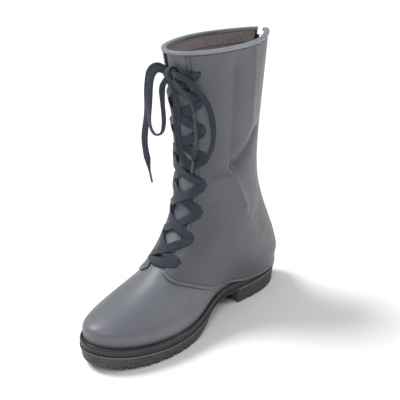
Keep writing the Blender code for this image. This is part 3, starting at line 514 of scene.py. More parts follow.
def new_mesh(name, points, faces, mat, values=None, caps=(), flip=False, angle=60):
    """Object from points, quads and caps; values are per-point floats that the materials read."""
    faces = np.asarray(faces)
    if flip:
        faces = faces[:, ::-1]
    mesh = bpy.data.meshes.new(name)
    mesh.from_pydata(np.asarray(points).reshape(-1, 3).tolist(), [], faces.tolist() + list(caps))
    for key, value in (values or {}).items():
        layer = mesh.attributes.new(key, "FLOAT", "POINT")
        layer.data.foreach_set("value", np.ascontiguousarray(value, dtype=np.float32).ravel())
    mesh.shade_smooth()
    mesh.set_sharp_from_angle(angle=math.radians(angle))
    mesh.materials.append(mat)
    obj = bpy.data.objects.new(name, mesh)
    bpy.context.collection.objects.link(obj)
    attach(obj, "boot")
    return obj


def run_length(grid, axis):
    """Distance in millimetres along a grid's rows or columns from its first line."""
    step = np.linalg.norm(np.diff(grid, axis=axis), axis=-1) * 1000
    start = np.zeros_like(np.take(step, [0], axis))
    return np.concatenate([start, np.cumsum(step, axis)], axis)


def eased(count, power):
    """Shares from 0 to 1 that lie closer together at both ends."""
    t = np.linspace(0, 1, count)
    return np.where(t < 0.5, 0.5 * (2 * t) ** power, 1 - 0.5 * (2 - 2 * t) ** power)


# Materials

def linear(hex_colour):
    channels = [int(hex_colour[i:i + 2], 16) / 255 for i in (1, 3, 5)]
    return (*[c / 12.92 if c <= 0.04045 else ((c + 0.055) / 1.055) ** 2.4 for c in channels], 1.0)


def start_material(name, colour, roughness, **sockets):
    """New Principled material; sockets are constants by the socket's name with _ for a space."""
    mat = bpy.data.materials.new(name)
    mat.use_nodes = True
    shader = mat.node_tree.nodes["Principled BSDF"]
    shader.inputs["Base Color"].default_value = linear(colour)
    shader.inputs["Roughness"].default_value = roughness
    for key, value in sockets.items():
        shader.inputs[key.replace("_", " ").title()].default_value = value
    return mat, mat.node_tree, shader


def add(tree, kind, inputs=None, **settings):
    """Node with its settings and inputs: a number, a colour, or the output of another node."""
    node = tree.nodes.new(kind)
    for key, value in settings.items():
        setattr(node, key, value)
    for key, value in (inputs or {}).items():
        if isinstance(value, bpy.types.NodeSocket):
            tree.links.new(value, node.inputs[key])
        else:
            node.inputs[key].default_value = value
    return node


def maths(tree, operation, a, b=0.0):
    return add(tree, "ShaderNodeMath", {0: a, 1: b}, operation=operation).outputs[0]


def value(tree, name):
    return add(tree, "ShaderNodeAttribute", attribute_name=name).outputs["Fac"]


def noise(tree, millimetres, detail, roughness=0.5):
    """Noise whose lumps are about that wide, on object coordinates."""
    place = add(tree, "ShaderNodeTexCoord").outputs["Object"]
    return add(tree, "ShaderNodeTexNoise", {
        "Vector": place, "Scale": 1000 / millimetres, "Detail": detail,
        "Roughness": roughness}).outputs["Fac"]


def ramp(tree, factor, low, high, a, b):
    """Maps factor from low..high to a..b, held at both ends."""
    return add(tree, "ShaderNodeMapRange", {
        "Value": factor, "From Min": low, "From Max": high, "To Min": a, "To Max": b}).outputs[0]


def blend_colour(tree, factor, a, b):
    """Mixes two colours, each a hex or an output."""
    node = add(tree, "ShaderNodeMix", data_type="RGBA")
    for key, item in ((6, a), (7, b)):
        if isinstance(item, str):
            node.inputs[key].default_value = linear(item)
        else:
            tree.links.new(item, node.inputs[key])
    tree.links.new(factor, node.inputs[0])
    return node.outputs[2]


def bumps(tree, shader, layers):
    """Chain of bumps, each (height, distance in millimetres)."""
    normal = None
    for height, depth in layers:
        node = add(tree, "ShaderNodeBump", {"Height": height, "Distance": depth / 1000, "Strength": 1.0})
        if normal:
            tree.links.new(normal, node.inputs["Normal"])
        normal = node.outputs[0]
    tree.links.new(normal, shader.inputs["Normal"])


def line_mask(tree, distance, centre, half):
    """1 on a line at that distance, falling to 0 at half its width from there."""
    off = maths(tree, "ABSOLUTE", maths(tree, "SUBTRACT", distance, centre))
    return ramp(tree, off, half * 0.4, half, 1.0, 0.0)


def leather(name, seams, low, high):
    """Smooth coated leatherette: even slate grey, fine pores, soft broad highlights and stitched seams. With
    seams it also gets painted shade in the creases, a painted highlight along the hem and painted shadow on
    the rounded edges.
    """
    mat, tree, shader = start_material(name, high, 0.42, coat_weight=0.10, coat_roughness=0.30)
    patch = noise(tree, 70, 3)
    shade = blend_colour(tree, ramp(tree, patch, 0.3, 0.7, 0, 1), low, high)
    layers = [(noise(tree, 16, 2), 0.10), (noise(tree, 0.9, 3, 0.6), 0.018)]
    if seams:
        inner = maths(tree, "MINIMUM", value(tree, "hem"), value(tree, "edge"))
        top = value(tree, "top")
        seam = maths(tree, "MAXIMUM", line_mask(tree, inner, SEAM_INSET, SEAM_HALF),
                     line_mask(tree, top, COLLAR_SEAM, COLLAR_SEAM_HALF))
        along = maths(tree, "FRACT", maths(tree, "DIVIDE", value(tree, "along"), STITCH_PITCH))
        thread = maths(tree, "MULTIPLY", seam, ramp(tree, maths(tree, "ABSOLUTE", maths(
            tree, "SUBTRACT", along, 0.5)), 0.30, 0.44, 1.0, 0.0))
        # Painted shade: the leather is darkened where the creases sink in.
        painted_crease_shade = ramp(tree, value(tree, "painted_crease_shade"), 0.6, 4.0, 0.0, 0.45)
        shade = blend_colour(tree, painted_crease_shade, shade, "#2E3036")
        # Painted highlight: a lighter band along the hem, where light catches the edge.
        fold = ramp(tree, value(tree, "hem"), 3.6, 4.0, 0.12, 0.0)
        shade = blend_colour(tree, fold, shade, "#A2A4AC")
        shade = blend_colour(tree, seam, shade, "#1E2024")
        shade = blend_colour(tree, maths(tree, "MULTIPLY", thread, 0.55), shade, "#5A5D66")
        layers.append((seam, -0.35))
        layers.append((thread, 0.30))
        # Painted shadow: the quarter's rounded edges are darkened for the shade under the hem.
        cut = ramp(tree, value(tree, "rim"), 0.35, 0.95, 0.9, 0.0)
        shade = blend_colour(tree, cut, shade, "#2B2D32")
    tree.links.new(shade, shader.inputs["Base Color"])
    tree.links.new(ramp(tree, noise(tree, 25, 3), 0.3, 0.7, 0.44, 0.54), shader.inputs["Roughness"])
    bumps(tree, shader, layers)
    return mat


def felt_material():
    """Grey-brown felt lining: matte, mottled fibres and a soft edge sheen."""
    mat, tree, shader = start_material("felt_lining", "#8B8687", 0.95, sheen_weight=0.4, sheen_roughness=0.5)
    fleck = noise(tree, 1.6, 4, 0.7)
    shade = blend_colour(tree, ramp(tree, fleck, 0.35, 0.65, 0, 1), "#6B6566", "#989191")
    seam = line_mask(tree, value(tree, "top"), LINING_SEAM, 0.8)
    shade = blend_colour(tree, maths(tree, "MULTIPLY", seam, 0.6), shade, "#4C4848")
    tree.links.new(shade, shader.inputs["Base Color"])
    bumps(tree, shader, [(fleck, 0.35), (seam, -0.5)])
    return mat


def lace_material():
    """Flat woven navy-slate lace: diagonal weave in two directions, matte with a faint sheen, and painted
    shade along the band's edges.
    """
    mat, tree, shader = start_material("woven_lace", "#38414F", 0.8, sheen_weight=0.15)
    along, across = value(tree, "along"), value(tree, "across")
    a = maths(tree, "SINE", maths(tree, "MULTIPLY", maths(tree, "ADD", along, across), 2.7))
    b = maths(tree, "SINE", maths(tree, "MULTIPLY", maths(tree, "SUBTRACT", along, across), 2.7))
    weave = ramp(tree, maths(tree, "MULTIPLY", a, b), -1.0, 1.0, 0.0, 1.0)
    shade = blend_colour(tree, weave, "#0B0F16", "#354152")
    shade = blend_colour(tree, ramp(tree, noise(tree, 5, 2), 0.35, 0.7, 0.0, 0.5), shade, "#202631")
    # Painted shade: the band darkens towards its edges.
    shade = blend_colour(tree, ramp(tree, value(tree, "border"), 0.80, 1.0, 0.0, 0.85), shade, "#090C12")
    tree.links.new(shade, shader.inputs["Base Color"])
    bumps(tree, shader, [(weave, 0.30)])
    return mat


def rubber(name, light, dark, roughness, ribs):
    """Moulded rubber with a dusty grain; ribs gives the pitch in millimetres of fine upright ribs, and with
    ribs the outsole's lip also gets a painted highlight.
    """
    mat, tree, shader = start_material(name, light, roughness)
    grain = noise(tree, 1.2, 4, 0.65)
    dust = noise(tree, 14, 3)
    shade = blend_colour(tree, ramp(tree, grain, 0.45, 0.68, 0, 1), dark, light)
    layers = [(grain, 0.06)]
    if ribs:
        wave = maths(tree, "SINE", maths(tree, "MULTIPLY", value(tree, "along"), 2 * math.pi / ribs))
        side = value(tree, "side")
        rib = maths(tree, "MULTIPLY", ramp(tree, wave, -1, 1, 0, 1), side)
        shade = blend_colour(tree, maths(tree, "MULTIPLY", rib, 0.35), shade, "#1F1E20")
        # Painted highlight: the outsole's protruding lip is painted lighter.
        shade = blend_colour(tree, maths(tree, "MULTIPLY", value(tree, "lip"), 0.7), shade, "#808084")
        layers.append((rib, 0.22))
    tree.links.new(shade, shader.inputs["Base Color"])
    tree.links.new(ramp(tree, dust, 0.3, 0.7, roughness - 0.1, roughness + 0.1), shader.inputs["Roughness"])
    bumps(tree, shader, layers)
    return mat


def plain_material(name, colour, roughness, **sockets):
    return start_material(name, colour, roughness, **sockets)[0]


# Pieces

def build_upper(skin_mat, lining_mat):
    """Vamp and tongue as form(level, turn, 0), and the lining as form(level, turn, -wall)."""
    levels = np.concatenate([np.linspace(0, 6, 76), np.linspace(6, TOP_LEVEL, 66)[1:]])
    slot = turn_at(levels, 0, 1, TAPE_WIDTH / 2 + CLEARANCE)
    way = np.linspace(0, 1, 241)
    turn = slot[:, None] * (1 - way) + (1 - slot[:, None]) * way
    level = np.repeat(levels[:, None], len(way), 1)
    rows, columns = level.shape
    closing = np.arange(np.searchsorted(levels, ZIP_FOOT_LEVEL))
    seam = np.stack([closing * columns + columns - 1, closing * columns,
                     (closing + 1) * columns, (closing + 1) * columns + columns - 1], -1)
    faces = np.concatenate([grid_faces(rows, columns), seam])
    outer = form(level, turn)
    vamp = new_mesh("vamp_and_tongue", outer, faces, skin_mat)
    inner = form(level, turn, -UPPER_WALL)
    top = run_length(inner[::-1], 0)[::-1]
    lining = new_mesh("lining", inner, faces, lining_mat, {"top": top}, flip=True)
    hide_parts("upper")
    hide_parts("upper")


def build_quarter(name, side, mat):
    """One overlay as a wall with rounded edges: thickness t * sqrt(1 - (1 - m/r)^2) near its border."""
    columns, rows = 150, 190
    way = eased(columns, 1.5)[None, :]
    share = eased(rows, 1.35)[:, None]
    foot = spline([row[0] for row in HEM], [row[1] for row in HEM], way[0])[None, :]
    level = foot * (1 - share) + TOP_LEVEL * share
    table = np.linspace(0, TOP_LEVEL, 160)
    front = facing_turn(table, side)
    back = turn_at(table, 0, side, back_gap(table))
    if side < 0:
        back = back + 1
    held = np.maximum(level, 0)
    turn = np.interp(held, table, front) * (1 - way) + np.interp(held, table, back) * way
    inner = quarter_wall(level, turn, 0.0)
    edge = run_length(inner, 1)
    hem = run_length(inner, 0)
    top = run_length(inner[::-1], 0)[::-1]
    behind = run_length(inner[:, ::-1], 1)[:, ::-1]
    across = np.gradient(inner, axis=0)
    along = np.gradient(inner, axis=1)
    sine = np.linalg.norm(np.cross(across, along), axis=-1) / (
        np.linalg.norm(across, axis=-1) * np.linalg.norm(along, axis=-1))
    hem_square, edge_square = hem * sine, edge * sine
    rim = np.minimum(np.minimum(hem_square, edge_square), behind)
    round_ = np.sqrt(np.clip(1 - (1 - np.clip(rim / RIM_ROUND, 0, 1)) ** 2, 0.04, 1))
    outer = quarter_wall(level, turn, QUARTER_WALL * round_)
    # The crease depth among these values drives the painted shade in the creases.
    values = {
        "hem": hem_square, "edge": edge_square, "top": top, "rim": rim,
        "along": np.where(hem_square < edge_square, edge, hem),
        "painted_crease_shade": -1000 * relief(skin(held, turn))}
    count = rows * columns
    border = np.concatenate([
        np.arange(columns), np.arange(1, rows) * columns + columns - 1,
        (rows - 1) * columns + np.arange(columns - 2, -1, -1), np.arange(rows - 2, 0, -1) * columns])
    after = np.roll(border, -1)
    rim_faces = np.stack([border + count, after + count, after, border], -1)
    faces = grid_faces(rows, columns)
    solid = np.concatenate([faces, faces[:, ::-1] + count, rim_faces])
    doubled = {key: np.concatenate([item.ravel(), item.ravel() * 0 + 30]) for key, item in values.items()}
    walls = np.concatenate([outer.reshape(-1, 3), inner.reshape(-1, 3)])
    quarter = new_mesh(f"{name}_leather", walls, solid, mat, doubled,
                       flip=side > 0)
    levels = eyelet_levels(side)
    turns = eyelet_turns(levels, side)
    bm = bmesh.new()
    for lev, trn in zip(levels, turns):
        near, far = Vector(form(lev, trn)), Vector(form(lev, trn, 1.0))
        turned = (far - near).to_track_quat("Z", "Y").to_matrix().to_4x4()
        bmesh.ops.create_cone(
            bm, cap_ends=True, segments=20, radius1=EYELET_RADIUS, radius2=EYELET_RADIUS,
            depth=PUNCH_LENGTH, matrix=Matrix.Translation(near) @ turned)
    punch_mesh = bpy.data.meshes.new(f"{name}_punches")
    bm.to_mesh(punch_mesh)
    bm.free()
    punch = bpy.data.objects.new(f"{name}_punches", punch_mesh)
    bpy.context.collection.objects.link(punch)
    cut = quarter.modifiers.new("eyelets", "BOOLEAN")
    cut.operation = "DIFFERENCE"
    cut.object = punch
    cut.solver = "EXACT"
    bpy.context.view_layer.objects.active = quarter
    bpy.ops.object.modifier_apply(modifier="eyelets")
    bpy.data.objects.remove(punch)
    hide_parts(name)


def build_binding(mat):
    """Padded fold over the collar: an open section swept round the rim, round on top."""
    edge = turn_at(TOP_LEVEL, 0, 1, back_gap(TOP_LEVEL))[0]
    turns = np.linspace(edge, 1 - edge, 260)
    inside = -UPPER_WALL - CLEARANCE - BINDING_WALL
    outside = QUARTER_GAP + QUARTER_WALL + CLEARANCE + BINDING_WALL
    middle, half = (inside + outside) / 2, (outside - inside) / 2
    angle = np.linspace(0, math.pi, 15)
    section = [(inside + 0.0004, -ROLL_DEPTH), (inside, -ROLL_DEPTH * 0.9)]
    section += [(middle - half * math.cos(a), 0.0012 * math.sin(a) ** 0.7) for a in angle]
    section += [(outside, -ROLL_DEPTH * 0.85), (outside - 0.0005, -ROLL_DEPTH)]
    rim = skin(np.full_like(turns, TOP_LEVEL), turns)
    per_level = rim[:, 2] - skin(np.full_like(turns, TOP_LEVEL - 1), turns)[:, 2]
    rings = []
    for offset, over in section:
        lev = TOP_LEVEL + np.minimum(over, 0) / per_level
        place = form(lev, turns, np.full_like(turns, offset))
        place[:, 2] = rim[:, 2] + over
        rings.append(place)
    grid = np.stack(rings, 1)
    faces = grid_faces(*grid.shape[:2])
    binding = new_mesh("collar_roll", grid, faces, mat, flip=True)
    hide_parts("collar_binding")


def ribbon(name, points, normals, widths, thicks, mat, slot, cup=0.0):
    """Woven band: the section (w/2 cos a, t/2 sin a |sin a|^-0.4) swept along the points."""
    along = np.gradient(points, axis=0)
    along = unit(along)
    across = np.cross(normals, along)
    across = unit(across)
    face = np.cross(along, across)
    angle = np.linspace(0, 2 * math.pi, 16, endpoint=False)
    u, v = np.cos(angle), np.sign(np.sin(angle)) * np.abs(np.sin(angle)) ** 0.6
    w = np.asarray(widths)[:, None, None] / 2
    t = np.asarray(thicks)[:, None, None] / 2
    grid = (points[:, None] + across[:, None] * w * u[:, None]
            + face[:, None] * (t * v[:, None] + w * cup * (u[:, None] ** 2 - 0.4)))
    rows, columns = grid.shape[:2]
    faces = grid_faces(rows, columns, True)
    run = distance(points) * 1000
    caps = [list(range(columns))[::-1], [(rows - 1) * columns + i for i in range(columns)]]
    values = {"along": np.repeat(run[:, None], columns, 1), "across": w[..., 0] * 1000 * u[None, :],
              "border": np.repeat(np.abs(u)[None], rows, 0)}
    return new_mesh(name, grid, faces, mat, values, caps=caps, angle=180)


def build_lacing(mat):
    """Lace in one run through all the eyelets, the second strand over the first at each crossing."""
    levels = {side: eyelet_levels(side) for side in (1, -1)}
    turns = {side: eyelet_turns(levels[side], side) for side in (1, -1)}
    over = {side: turns[side] + np.sign(turns[side] - 0.5) * TIP_OVER for side in turns}
    last = EYELET_PAIRS - 1
    holes = [(1 if (last - k) % 2 == 0 else -1, k) for k in range(last, -1, -1)]
    holes += [(-side, k) for side, k in reversed(holes)]
    surface = QUARTER_GAP + QUARTER_WALL
    rest = surface + LACE_THICK / 2 + LACE_LIFT / 2
    deep = QUARTER_GAP * 0.4
    share = np.concatenate([np.linspace(0, 0.12, 8)[:-1], np.linspace(0.12, 0.88, 25)[:-1],
                            np.linspace(0.88, 1, 8)[:-1]])
    points, normals, widths, thicks = [], [], [], []

    def strand(start, end, lift, wobble):
        place = start * (1 - share[:, None]) + end * share[:, None]
        length = np.linalg.norm(skin(*start) - skin(*end))
        near = np.minimum(share, 1 - share) * length
        out = smooth((near - 0.0003) / 0.0017)
        high = smooth((near / length - 0.17) / 0.14)
        offset = deep + (rest - deep) * out + lift * high
        here = form(place[:, 0], place[:, 1], offset)
        beyond = skin(place[:, 0], place[:, 1], offset + 0.001) - skin(place[:, 0], place[:, 1], offset)
        run = here[-1] - here[0]
        side = np.cross(beyond, run / np.linalg.norm(run))
        beyond = beyond + side * (0.22 * np.sin(share * 2 * math.pi + wobble))[:, None]
        points.append(here)
        normals.append(beyond)
        widths.append(np.minimum(LACE_WIDTH, LACE_PINCH + near * LACE_SPREAD))
        thicks.append(LACE_THICK * (1 + 0.5 * np.exp(-near / 0.002)))

    for i in range(len(holes) - 1):
        (side_a, a), (side_b, b) = holes[i], holes[i + 1]
        start = np.array([levels[side_a][a], over[side_a][a]])
        end = np.array([levels[side_b][b], over[side_b][b]])
        lift = (LACE_THICK + LACE_LIFT) if i >= EYELET_PAIRS else 0.0
        strand(start, end, lift, i * 1.7)

    def lead(hole):
        """From a top hole to the knot's side."""
        side, k = hole
        s = np.linspace(0, 1, 16)[1:]
        lev, trn = levels[side][k], turns[side][k]
        start, above = form(lev, trn, deep), form(lev, trn, rest + 0.0010)
        end = bow_place(KNOT_CENTRE) + np.array((side * KNOT_RADII[0] * 0.8, 0, -KNOT_RADII[2] / 2))
        out = (above - start) / np.linalg.norm(above - start)
        rise = smooth(s / 0.22)[:, None] * (1 - s[:, None])
        here = start * (1 - s[:, None]) + end * s[:, None] + (above - start) * rise
        here = here + out * (0.0014 * np.sin(math.pi * s))[:, None]
        width = 0.0022 + (FREE_LACE_WIDTH - 0.0022) * smooth(s / 0.4)
        return here, np.tile(out, (len(s), 1)), width, np.full(len(s), LACE_THICK * 1.2)

    first = [item[::-1] for item in lead(holes[0])]
    final = lead(holes[-1])
    groups = []
    for k, rows in enumerate((points, normals, widths, thicks)):
        groups.append(np.concatenate([first[k], *rows, final[k]]))
    for _ in range(2):
        groups[0][1:-1] = (groups[0][:-2] + 2 * groups[0][1:-1] + groups[0][2:]) / 4
    lacing = ribbon("lace_through_eyelets", *groups, mat, "navy_lace", cup=0.03)
    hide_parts("lace_crossings")


def build_bow(mat, tip_mat):
    """Two loops and two ends as bands along listed routes, their aglets, and the knot's wraps."""
    for name, (faces_to, twist, route) in LACE_ROUTES.items():
        points = bow_place(route)
        run = distance(points)
        count = int(run[-1] / 0.0016)
        fine = spline(run, points, np.linspace(0, run[-1], count))
        s = np.linspace(0, 1, count)
        along = np.gradient(fine, axis=0)
        along = unit(along)
        normal = np.tile(np.asarray(faces_to, float), (count, 1))
        normal -= (normal * along).sum(1, keepdims=True) * along
        normal = unit(normal)
        side = np.cross(along, normal)
        turn = np.radians(twist * np.sin(math.pi * s) + 9 * np.sin(s * 17))[:, None]
        normal = normal * np.cos(turn) + side * np.sin(turn)
        is_end = name.startswith("lace_end")
        width = np.full(count, FREE_LACE_WIDTH) * (0.80 + 0.20 * smooth(s / 0.12))
        if is_end:
            width *= 1 - 0.62 * smooth((s - 0.86) / 0.14)
        else:
            width *= 0.80 + 0.20 * smooth((1 - s) / 0.12)
        piece = ribbon(f"{name}_band", fine, normal, width, np.full(count, LACE_THICK * 0.8), mat,
                       "navy_lace", cup=0.07)
        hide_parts(name)
        with_pieces = []
        if is_end:
            aglet_name = name.replace("lace_end", "aglet")
            with_pieces = [build_aglet(aglet_name, *AGLETS[aglet_name], tip_mat)]
    centre = bow_place(KNOT_CENTRE)
    wraps = (
        # radii of the ellipse, its two directions, width
        ((0.0066, 0.0064), (0.10, 0.99, 0.10), (0.25, -0.10, 0.96), 0.0076),
        ((0.0050, 0.0048), (0.30, 0.95, 0.0), (-0.55, 0.18, 0.81), 0.0062),
        ((0.0078, 0.0046), (0.99, 0.0, 0.12), (0.0, 0.98, 0.20), 0.0060),
    )
    around = np.linspace(0, 2 * math.pi, 49)
    for i, (radii, first, second, width) in enumerate(wraps):
        first, second = np.array(first), np.array(second)
        out = np.cos(around)[:, None] * first + np.sin(around)[:, None] * second
        points = (centre + np.cos(around)[:, None] * first * radii[0]
                  + np.sin(around)[:, None] * second * radii[1])
        wrap = ribbon(f"knot_wrap_{i + 1}", points, out, np.full(49, width), np.full(49, 0.0014), mat,
                      "navy_lace", cup=-0.10)
        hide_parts("lace_knot")


def build_aglet(name, start, end, mat):
    """Hard sleeve: a tube of radius r (1 - 0.25 s^6), closed at the tip."""
    start, end = bow_place(start), bow_place(end)
    axis = (end - start) / np.linalg.norm(end - start)
    side = np.cross(axis, (0, 1, 0.2))
    side /= np.linalg.norm(side)
    other = np.cross(axis, side)
    s = np.linspace(0, 1, 12)
    angle = np.linspace(0, 2 * math.pi, 14, endpoint=False)
    radius = AGLET_RADIUS * (1 - 0.25 * s ** 6)[:, None, None]
    ring = side * np.cos(angle)[:, None] + other * np.sin(angle)[:, None]
    middle = start + axis * CLEARANCE + axis * AGLET_LENGTH * s[:, None]
    grid = middle[:, None] + ring[None] * radius
    closed = np.concatenate([np.repeat(middle[None, :1], 14, 1).reshape(1, 14, 3), grid,
                             np.repeat(middle[None, -1:], 14, 1).reshape(1, 14, 3)])
    aglet = new_mesh(f"{name}_tip", closed, grid_faces(14, 14, True), mat)
    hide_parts(name)
    return aglet


def half_strips(count):
    """Quads that close a ring of mirrored turns by strips across it."""
    i = np.arange(count // 2)
    return np.stack([i, i + 1, count - i - 1, (count - i) % count], -1)


def sole_turns(half):
    places = turns_at_shares((1 - np.cos(np.linspace(0, math.pi, half))) / 2)
    return mirrored_turns(places)


def stack(name, layers, mat, values):
    """Closed solid between stacked outlines, with strips across its bottom and top."""
    grid = np.stack(layers)
    rows, count = grid.shape[:2]
    strips = half_strips(count)
    faces = np.concatenate([grid_faces(rows, count, True), strips[:, ::-1], strips + (rows - 1) * count])
    return new_mesh(name, grid, faces, mat, values, angle=38)


def build_midsole(mat):
    """Black band: a ribbed side, a rounded lip and a grooved ledge on top."""
    turns = sole_turns(240)
    thick = MIDSOLE_THICK
    rows = [(WELT_LEDGE * 2.2, -thick), (0.0010, -thick), (0.0006, -thick * 0.97), (0.0006, -thick * 0.66)]
    rows += [(0.0004, -thick * 0.62), (0.0, -thick * 0.52), (-0.0002, -thick * 0.40), (0.0, -thick * 0.16)]
    rows += [(0.0002, -thick * 0.07), (0.0007, 0.0), (0.0013, 0.0001), (0.0016, -0.0004)]
    rows += [(0.0019, -LEDGE_GROOVE), (0.0024, -LEDGE_GROOVE), (0.0027, -0.0003), (0.0031, 0.0)]
    rows += [(0.0050, 0.0)]
    layers = []
    for inset, down in rows:
        edge = sole_edge(turns, inset)
        layers.append(np.column_stack([edge, sole_top(edge[:, 1]) + down]))
    band = stack("midsole_band", layers, mat, None)
    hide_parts("midsole")


def edge_notch(turns):
    """Depth of the small moulded lugs along the tread's edge."""
    outline = np.concatenate([sole_edge(turns), np.zeros((len(turns), 1))], 1)
    run = run_length(outline[None], 1)[0]
    phase = np.abs((run / NOTCH_PITCH) % 1 - 0.5) * NOTCH_PITCH
    return NOTCH_DEPTH * smooth((1.1 - phase) / 0.5), run


def build_outsole(mat):
    """Tread: a ribbed side, main lugs across, small lugs along its edge, heel, breast and arch."""
    shares = np.unique(np.concatenate([
        (1 - np.cos(np.linspace(0, math.pi, 420))) / 2, HEEL_BREAST + BREAST_SLOPE * np.linspace(0, 1, 14),
        *[c + np.array([-0.5, 0.5]) * LUG_GROOVE / SOLE_LENGTH for c in HEEL_LUGS + FOREFOOT_LUGS]]))
    turns = mirrored_turns(turns_at_shares(shares))
    spine = (1 - np.cos(2 * math.pi * turns)) / 2 * SOLE_LENGTH - HEEL_CENTRE
    low = ground(spine)
    arch = np.clip(low / SOLE_LINE - 0.2, 0, 1) * np.clip(1 - spine / SOLE_LENGTH * 1.35, 0, 1)
    share_y = (spine + HEEL_CENTRE) / SOLE_LENGTH
    cut = np.zeros_like(share_y)
    for centre in HEEL_LUGS + FOREFOOT_LUGS:
        off = np.abs(share_y - centre) * SOLE_LENGTH - LUG_GROOVE / 2
        cut = np.maximum(cut, LUG_DEPTH * np.clip(1 - off / LUG_FLANK, 0, 1))
    notch, run = edge_notch(turns)
    rows = (
        # inset, share of the way from the ground to the top, part of the small lugs, side ribs
        (0.0120, 0.0, 0.0, 0.0),
        (0.0075, 0.0, 0.0, 0.0),
        (0.0070, 0.0, 1.0, 0.0),
        (0.0030, 0.0, 1.0, 0.0),
        (0.0022, 0.02, 0.9, 0.3),
        (0.0016, 0.10, 0.7, 1.0),
        (0.0012, 0.28, 0.0, 1.0),
        (0.0008, 0.55, 0.0, 1.0),
        (0.0002, 0.84, 0.0, 1.0),
        (0.0002, 0.88, 0.0, 0.0),
        (-0.0004, 0.91, 0.0, 0.0),
        (-0.0006, 0.95, 0.0, 0.0),
        (-0.0004, 1.0, 0.0, 0.0),
    )
    layers, sides = [], []
    for inset, share, small, ribs in rows:
        edge = sole_edge(turns, inset + arch * 0.004 * (1 - share))
        bottom = low + np.maximum(cut * (share < 0.12), notch * small)
        top = sole_top(edge[:, 1]) - MIDSOLE_THICK - CLEARANCE
        layers.append(np.column_stack([edge, bottom * (1 - share) + top * share]))
        sides.append(np.full(len(turns), ribs))
    # Rows of the outsole's lip, which get the painted highlight.
    lip_highlight_rows = np.repeat([float(0.90 < row[1] < 0.99) for row in rows], len(turns))
    values = {"along": np.tile(run, len(rows)), "side": np.stack(sides), "lip": lip_highlight_rows}
    tread = stack("tread", layers, mat, values)
    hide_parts("outsole")


def build_zip(tape_mat, metal_mat):
    """Tape in the slot, and two rows of meshing teeth as small blocks."""
    table = np.linspace(TOP_LEVEL - 1, TOP_LEVEL, 40)
    height = skin(table, np.zeros(40))[:, 2]
    top = float(np.interp(height[-1] - ZIP_SLIDER_DROP, height, table))
    closed = np.linspace(ZIP_FOOT_LEVEL - 0.1, top, 90)
    levels = np.concatenate([closed, np.linspace(top, TOP_LEVEL - 0.15, 8)[1:]])
    half = TAPE_WIDTH / 2 + 0.001
    arcs = np.array([-half, -5e-3, -2.5e-3, -TEETH_WIDTH / 2, TEETH_WIDTH / 2, 2.5e-3, 5e-3, half])
    turn = np.stack([turn_at(levels, 0, 1 if a >= 0 else -1, np.full(len(levels), abs(a))) for a in arcs], 1)
    level = np.repeat(levels[:, None], len(arcs), 1)
    grid = form(level, turn, -CLEARANCE)
    faces = grid_faces(*level.shape).reshape(len(levels) - 1, len(arcs) - 1, 4)
    keep = np.ones(faces.shape[:2], bool)
    keep[len(closed):, 3] = False
    inner = form(level, turn, -CLEARANCE - TAPE_THICK)
    count = level.size
    kept = faces[keep]
    tape = new_mesh("zip_tape_woven", np.concatenate([grid.reshape(-1, 3), inner.reshape(-1, 3)]),
                    np.concatenate([kept, kept[:, ::-1] + count]), tape_mat)
    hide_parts("zip_tape")
    line_levels = np.linspace(ZIP_FOOT_LEVEL + 0.45, top, 400)
    line = form(line_levels, np.zeros(400), 0.0)
    run = run_length(line[None], 1)[0]
    stops = np.arange(0, run[-1], TEETH_PITCH)
    at = np.interp(stops, run, line_levels)
    centre = form(at, np.zeros_like(at), 0.0005)
    up = np.gradient(centre, axis=0)
    up = unit(up)
    out = np.cross(np.tile((1.0, 0, 0), (len(at), 1)), up)
    side = np.where(np.arange(len(at)) % 2 == 0, 1.0, -1.0)[:, None]
    corner = np.array([(x, y, z) for x in (0, 1) for y in (0, 1) for z in (0, 1)], float)
    box = [(0, 1, 3, 2), (4, 6, 7, 5), (0, 4, 5, 1), (2, 3, 7, 6), (0, 2, 6, 4), (1, 5, 7, 3)]
    across = np.tile((1.0, 0, 0), (len(at), 1)) * side
    verts = (centre[:, None] + across[:, None] * (corner[:, 0, None] * 0.0026 - 0.0007)
             + out[:, None] * (corner[:, 1, None] * 0.0012 - 0.0006)
             + up[:, None] * (corner[:, 2, None] * 0.0009 - 0.00045))
    faces = (np.array(box)[None] + np.arange(len(at))[:, None, None] * 8).reshape(-1, 4)
    teeth = new_mesh("zip_teeth_rows", verts, faces, metal_mat, angle=20)
    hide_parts("zip_teeth")


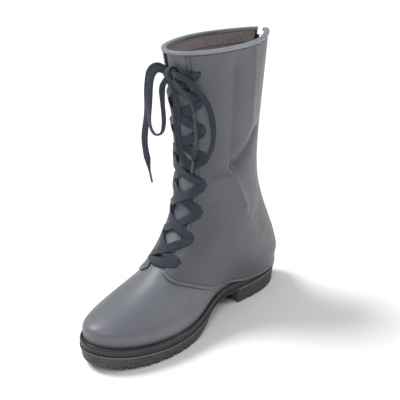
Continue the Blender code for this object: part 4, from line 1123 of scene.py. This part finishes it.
def build_stage():
    """Pale floor and soft studio light."""
    mat = plain_material("studio_floor", "#FBFBFB", 0.9)
    bpy.ops.mesh.primitive_plane_add(size=14, location=(0, 0, -0.0003))
    floor = bpy.context.object
    floor.name = "floor"
    floor.data.materials.append(mat)
    floor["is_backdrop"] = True
    world = bpy.data.worlds.new("studio")
    bpy.context.scene.world = world
    world.use_nodes = True
    world.node_tree.nodes["Background"].inputs[0].default_value = (1.0, 1.0, 1.0, 1.0)
    world.node_tree.nodes["Background"].inputs[1].default_value = WORLD_LIGHT
    sun = bpy.data.lights.new("sun", "SUN")
    sun.energy = SUN_STRENGTH
    sun.angle = SUN_SOFTNESS
    lamp = bpy.data.objects.new("sun", sun)
    bpy.context.collection.objects.link(lamp)
    lamp.rotation_euler = (-Vector(SUN_FROM)).to_track_quat("-Z", "Y").to_euler()
    for name, place, aim, size, power, colour in LIGHTS:
        data = bpy.data.lights.new(name, "AREA")
        data.shape = "DISK"
        data.size = size
        data.energy = power
        data.color = colour
        light = bpy.data.objects.new(name, data)
        bpy.context.collection.objects.link(light)
        light.location = place
        light.rotation_euler = (Vector(aim) - Vector(place)).to_track_quat("-Z", "Y").to_euler()


def build_camera():
    """Camera where the photo's stood, aimed at the middle of this one boot."""
    data = bpy.data.cameras.new("camera")
    data.lens = CAMERA_LENS
    data.sensor_width = 36
    data.clip_end = 50
    camera = bpy.data.objects.new("camera", data)
    bpy.context.collection.objects.link(camera)
    camera.location = CAMERA_PLACE
    camera.rotation_euler = (Vector(CAMERA_AIM) - Vector(CAMERA_PLACE)).to_track_quat("-Z", "Y").to_euler()
    bpy.context.scene.camera = camera


def write_size(key, box, sizes):
    sizes[key] = [[float(c) for c in corner] for corner in box]


def main():
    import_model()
    sizes = {}
    write_size("cad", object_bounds(), sizes)
    # Lit and shaded copies of one leather: the vamp's is painted lighter for its upward-facing top, and the
    # quarters' is painted darker for the upright shaft in shade.
    plain = leather("leatherette", False, "#5E6068", "#696B73")
    stitched = leather("leatherette_stitched_shaded", True, "#4A4C53", "#53555C")
    collar = leather("leatherette_collar", False, "#737680", "#7F838D")
    lining = felt_material()
    lace = lace_material()
    welt = rubber("rand_rubber", "#35312F", "#262425", 0.45, 0)
    tread = rubber("tread_rubber", "#646368", "#303034", 0.7, 1.7)
    tape = plain_material("zip_tape", "#17171A", 0.85)
    metal = plain_material("black_lacquer", "#1B1C1F", 0.35, metallic=0.6)
    tip = plain_material("lace_tip", "#3A414C", 0.3)
    build_upper(plain, lining)
    build_quarter("quarter_outer", 1, stitched)
    build_quarter("quarter_inner", -1, stitched)
    build_binding(collar)
    build_midsole(welt)
    build_outsole(tread)
    build_zip(tape, metal)
    build_lacing(lace)
    build_bow(lace, tip)
    nodes = bpy.data.objects
    for name, mat in (("insole", lining), ("zip_slider", metal), ("zip_pull", metal)):
        nodes[name].data.materials.clear()
        nodes[name].data.materials.append(mat)
        soften = nodes[name].modifiers.new("soft_edges", "BEVEL")
        soften.width = 0.00025
        soften.segments = 2
        soften.limit_method = "ANGLE"
    build_stage()
    build_camera()
    scene = bpy.context.scene
    scene.view_settings.view_transform = "Standard"
    scene.view_settings.exposure = EXPOSURE
    write_size("visual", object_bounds(), sizes)


main()
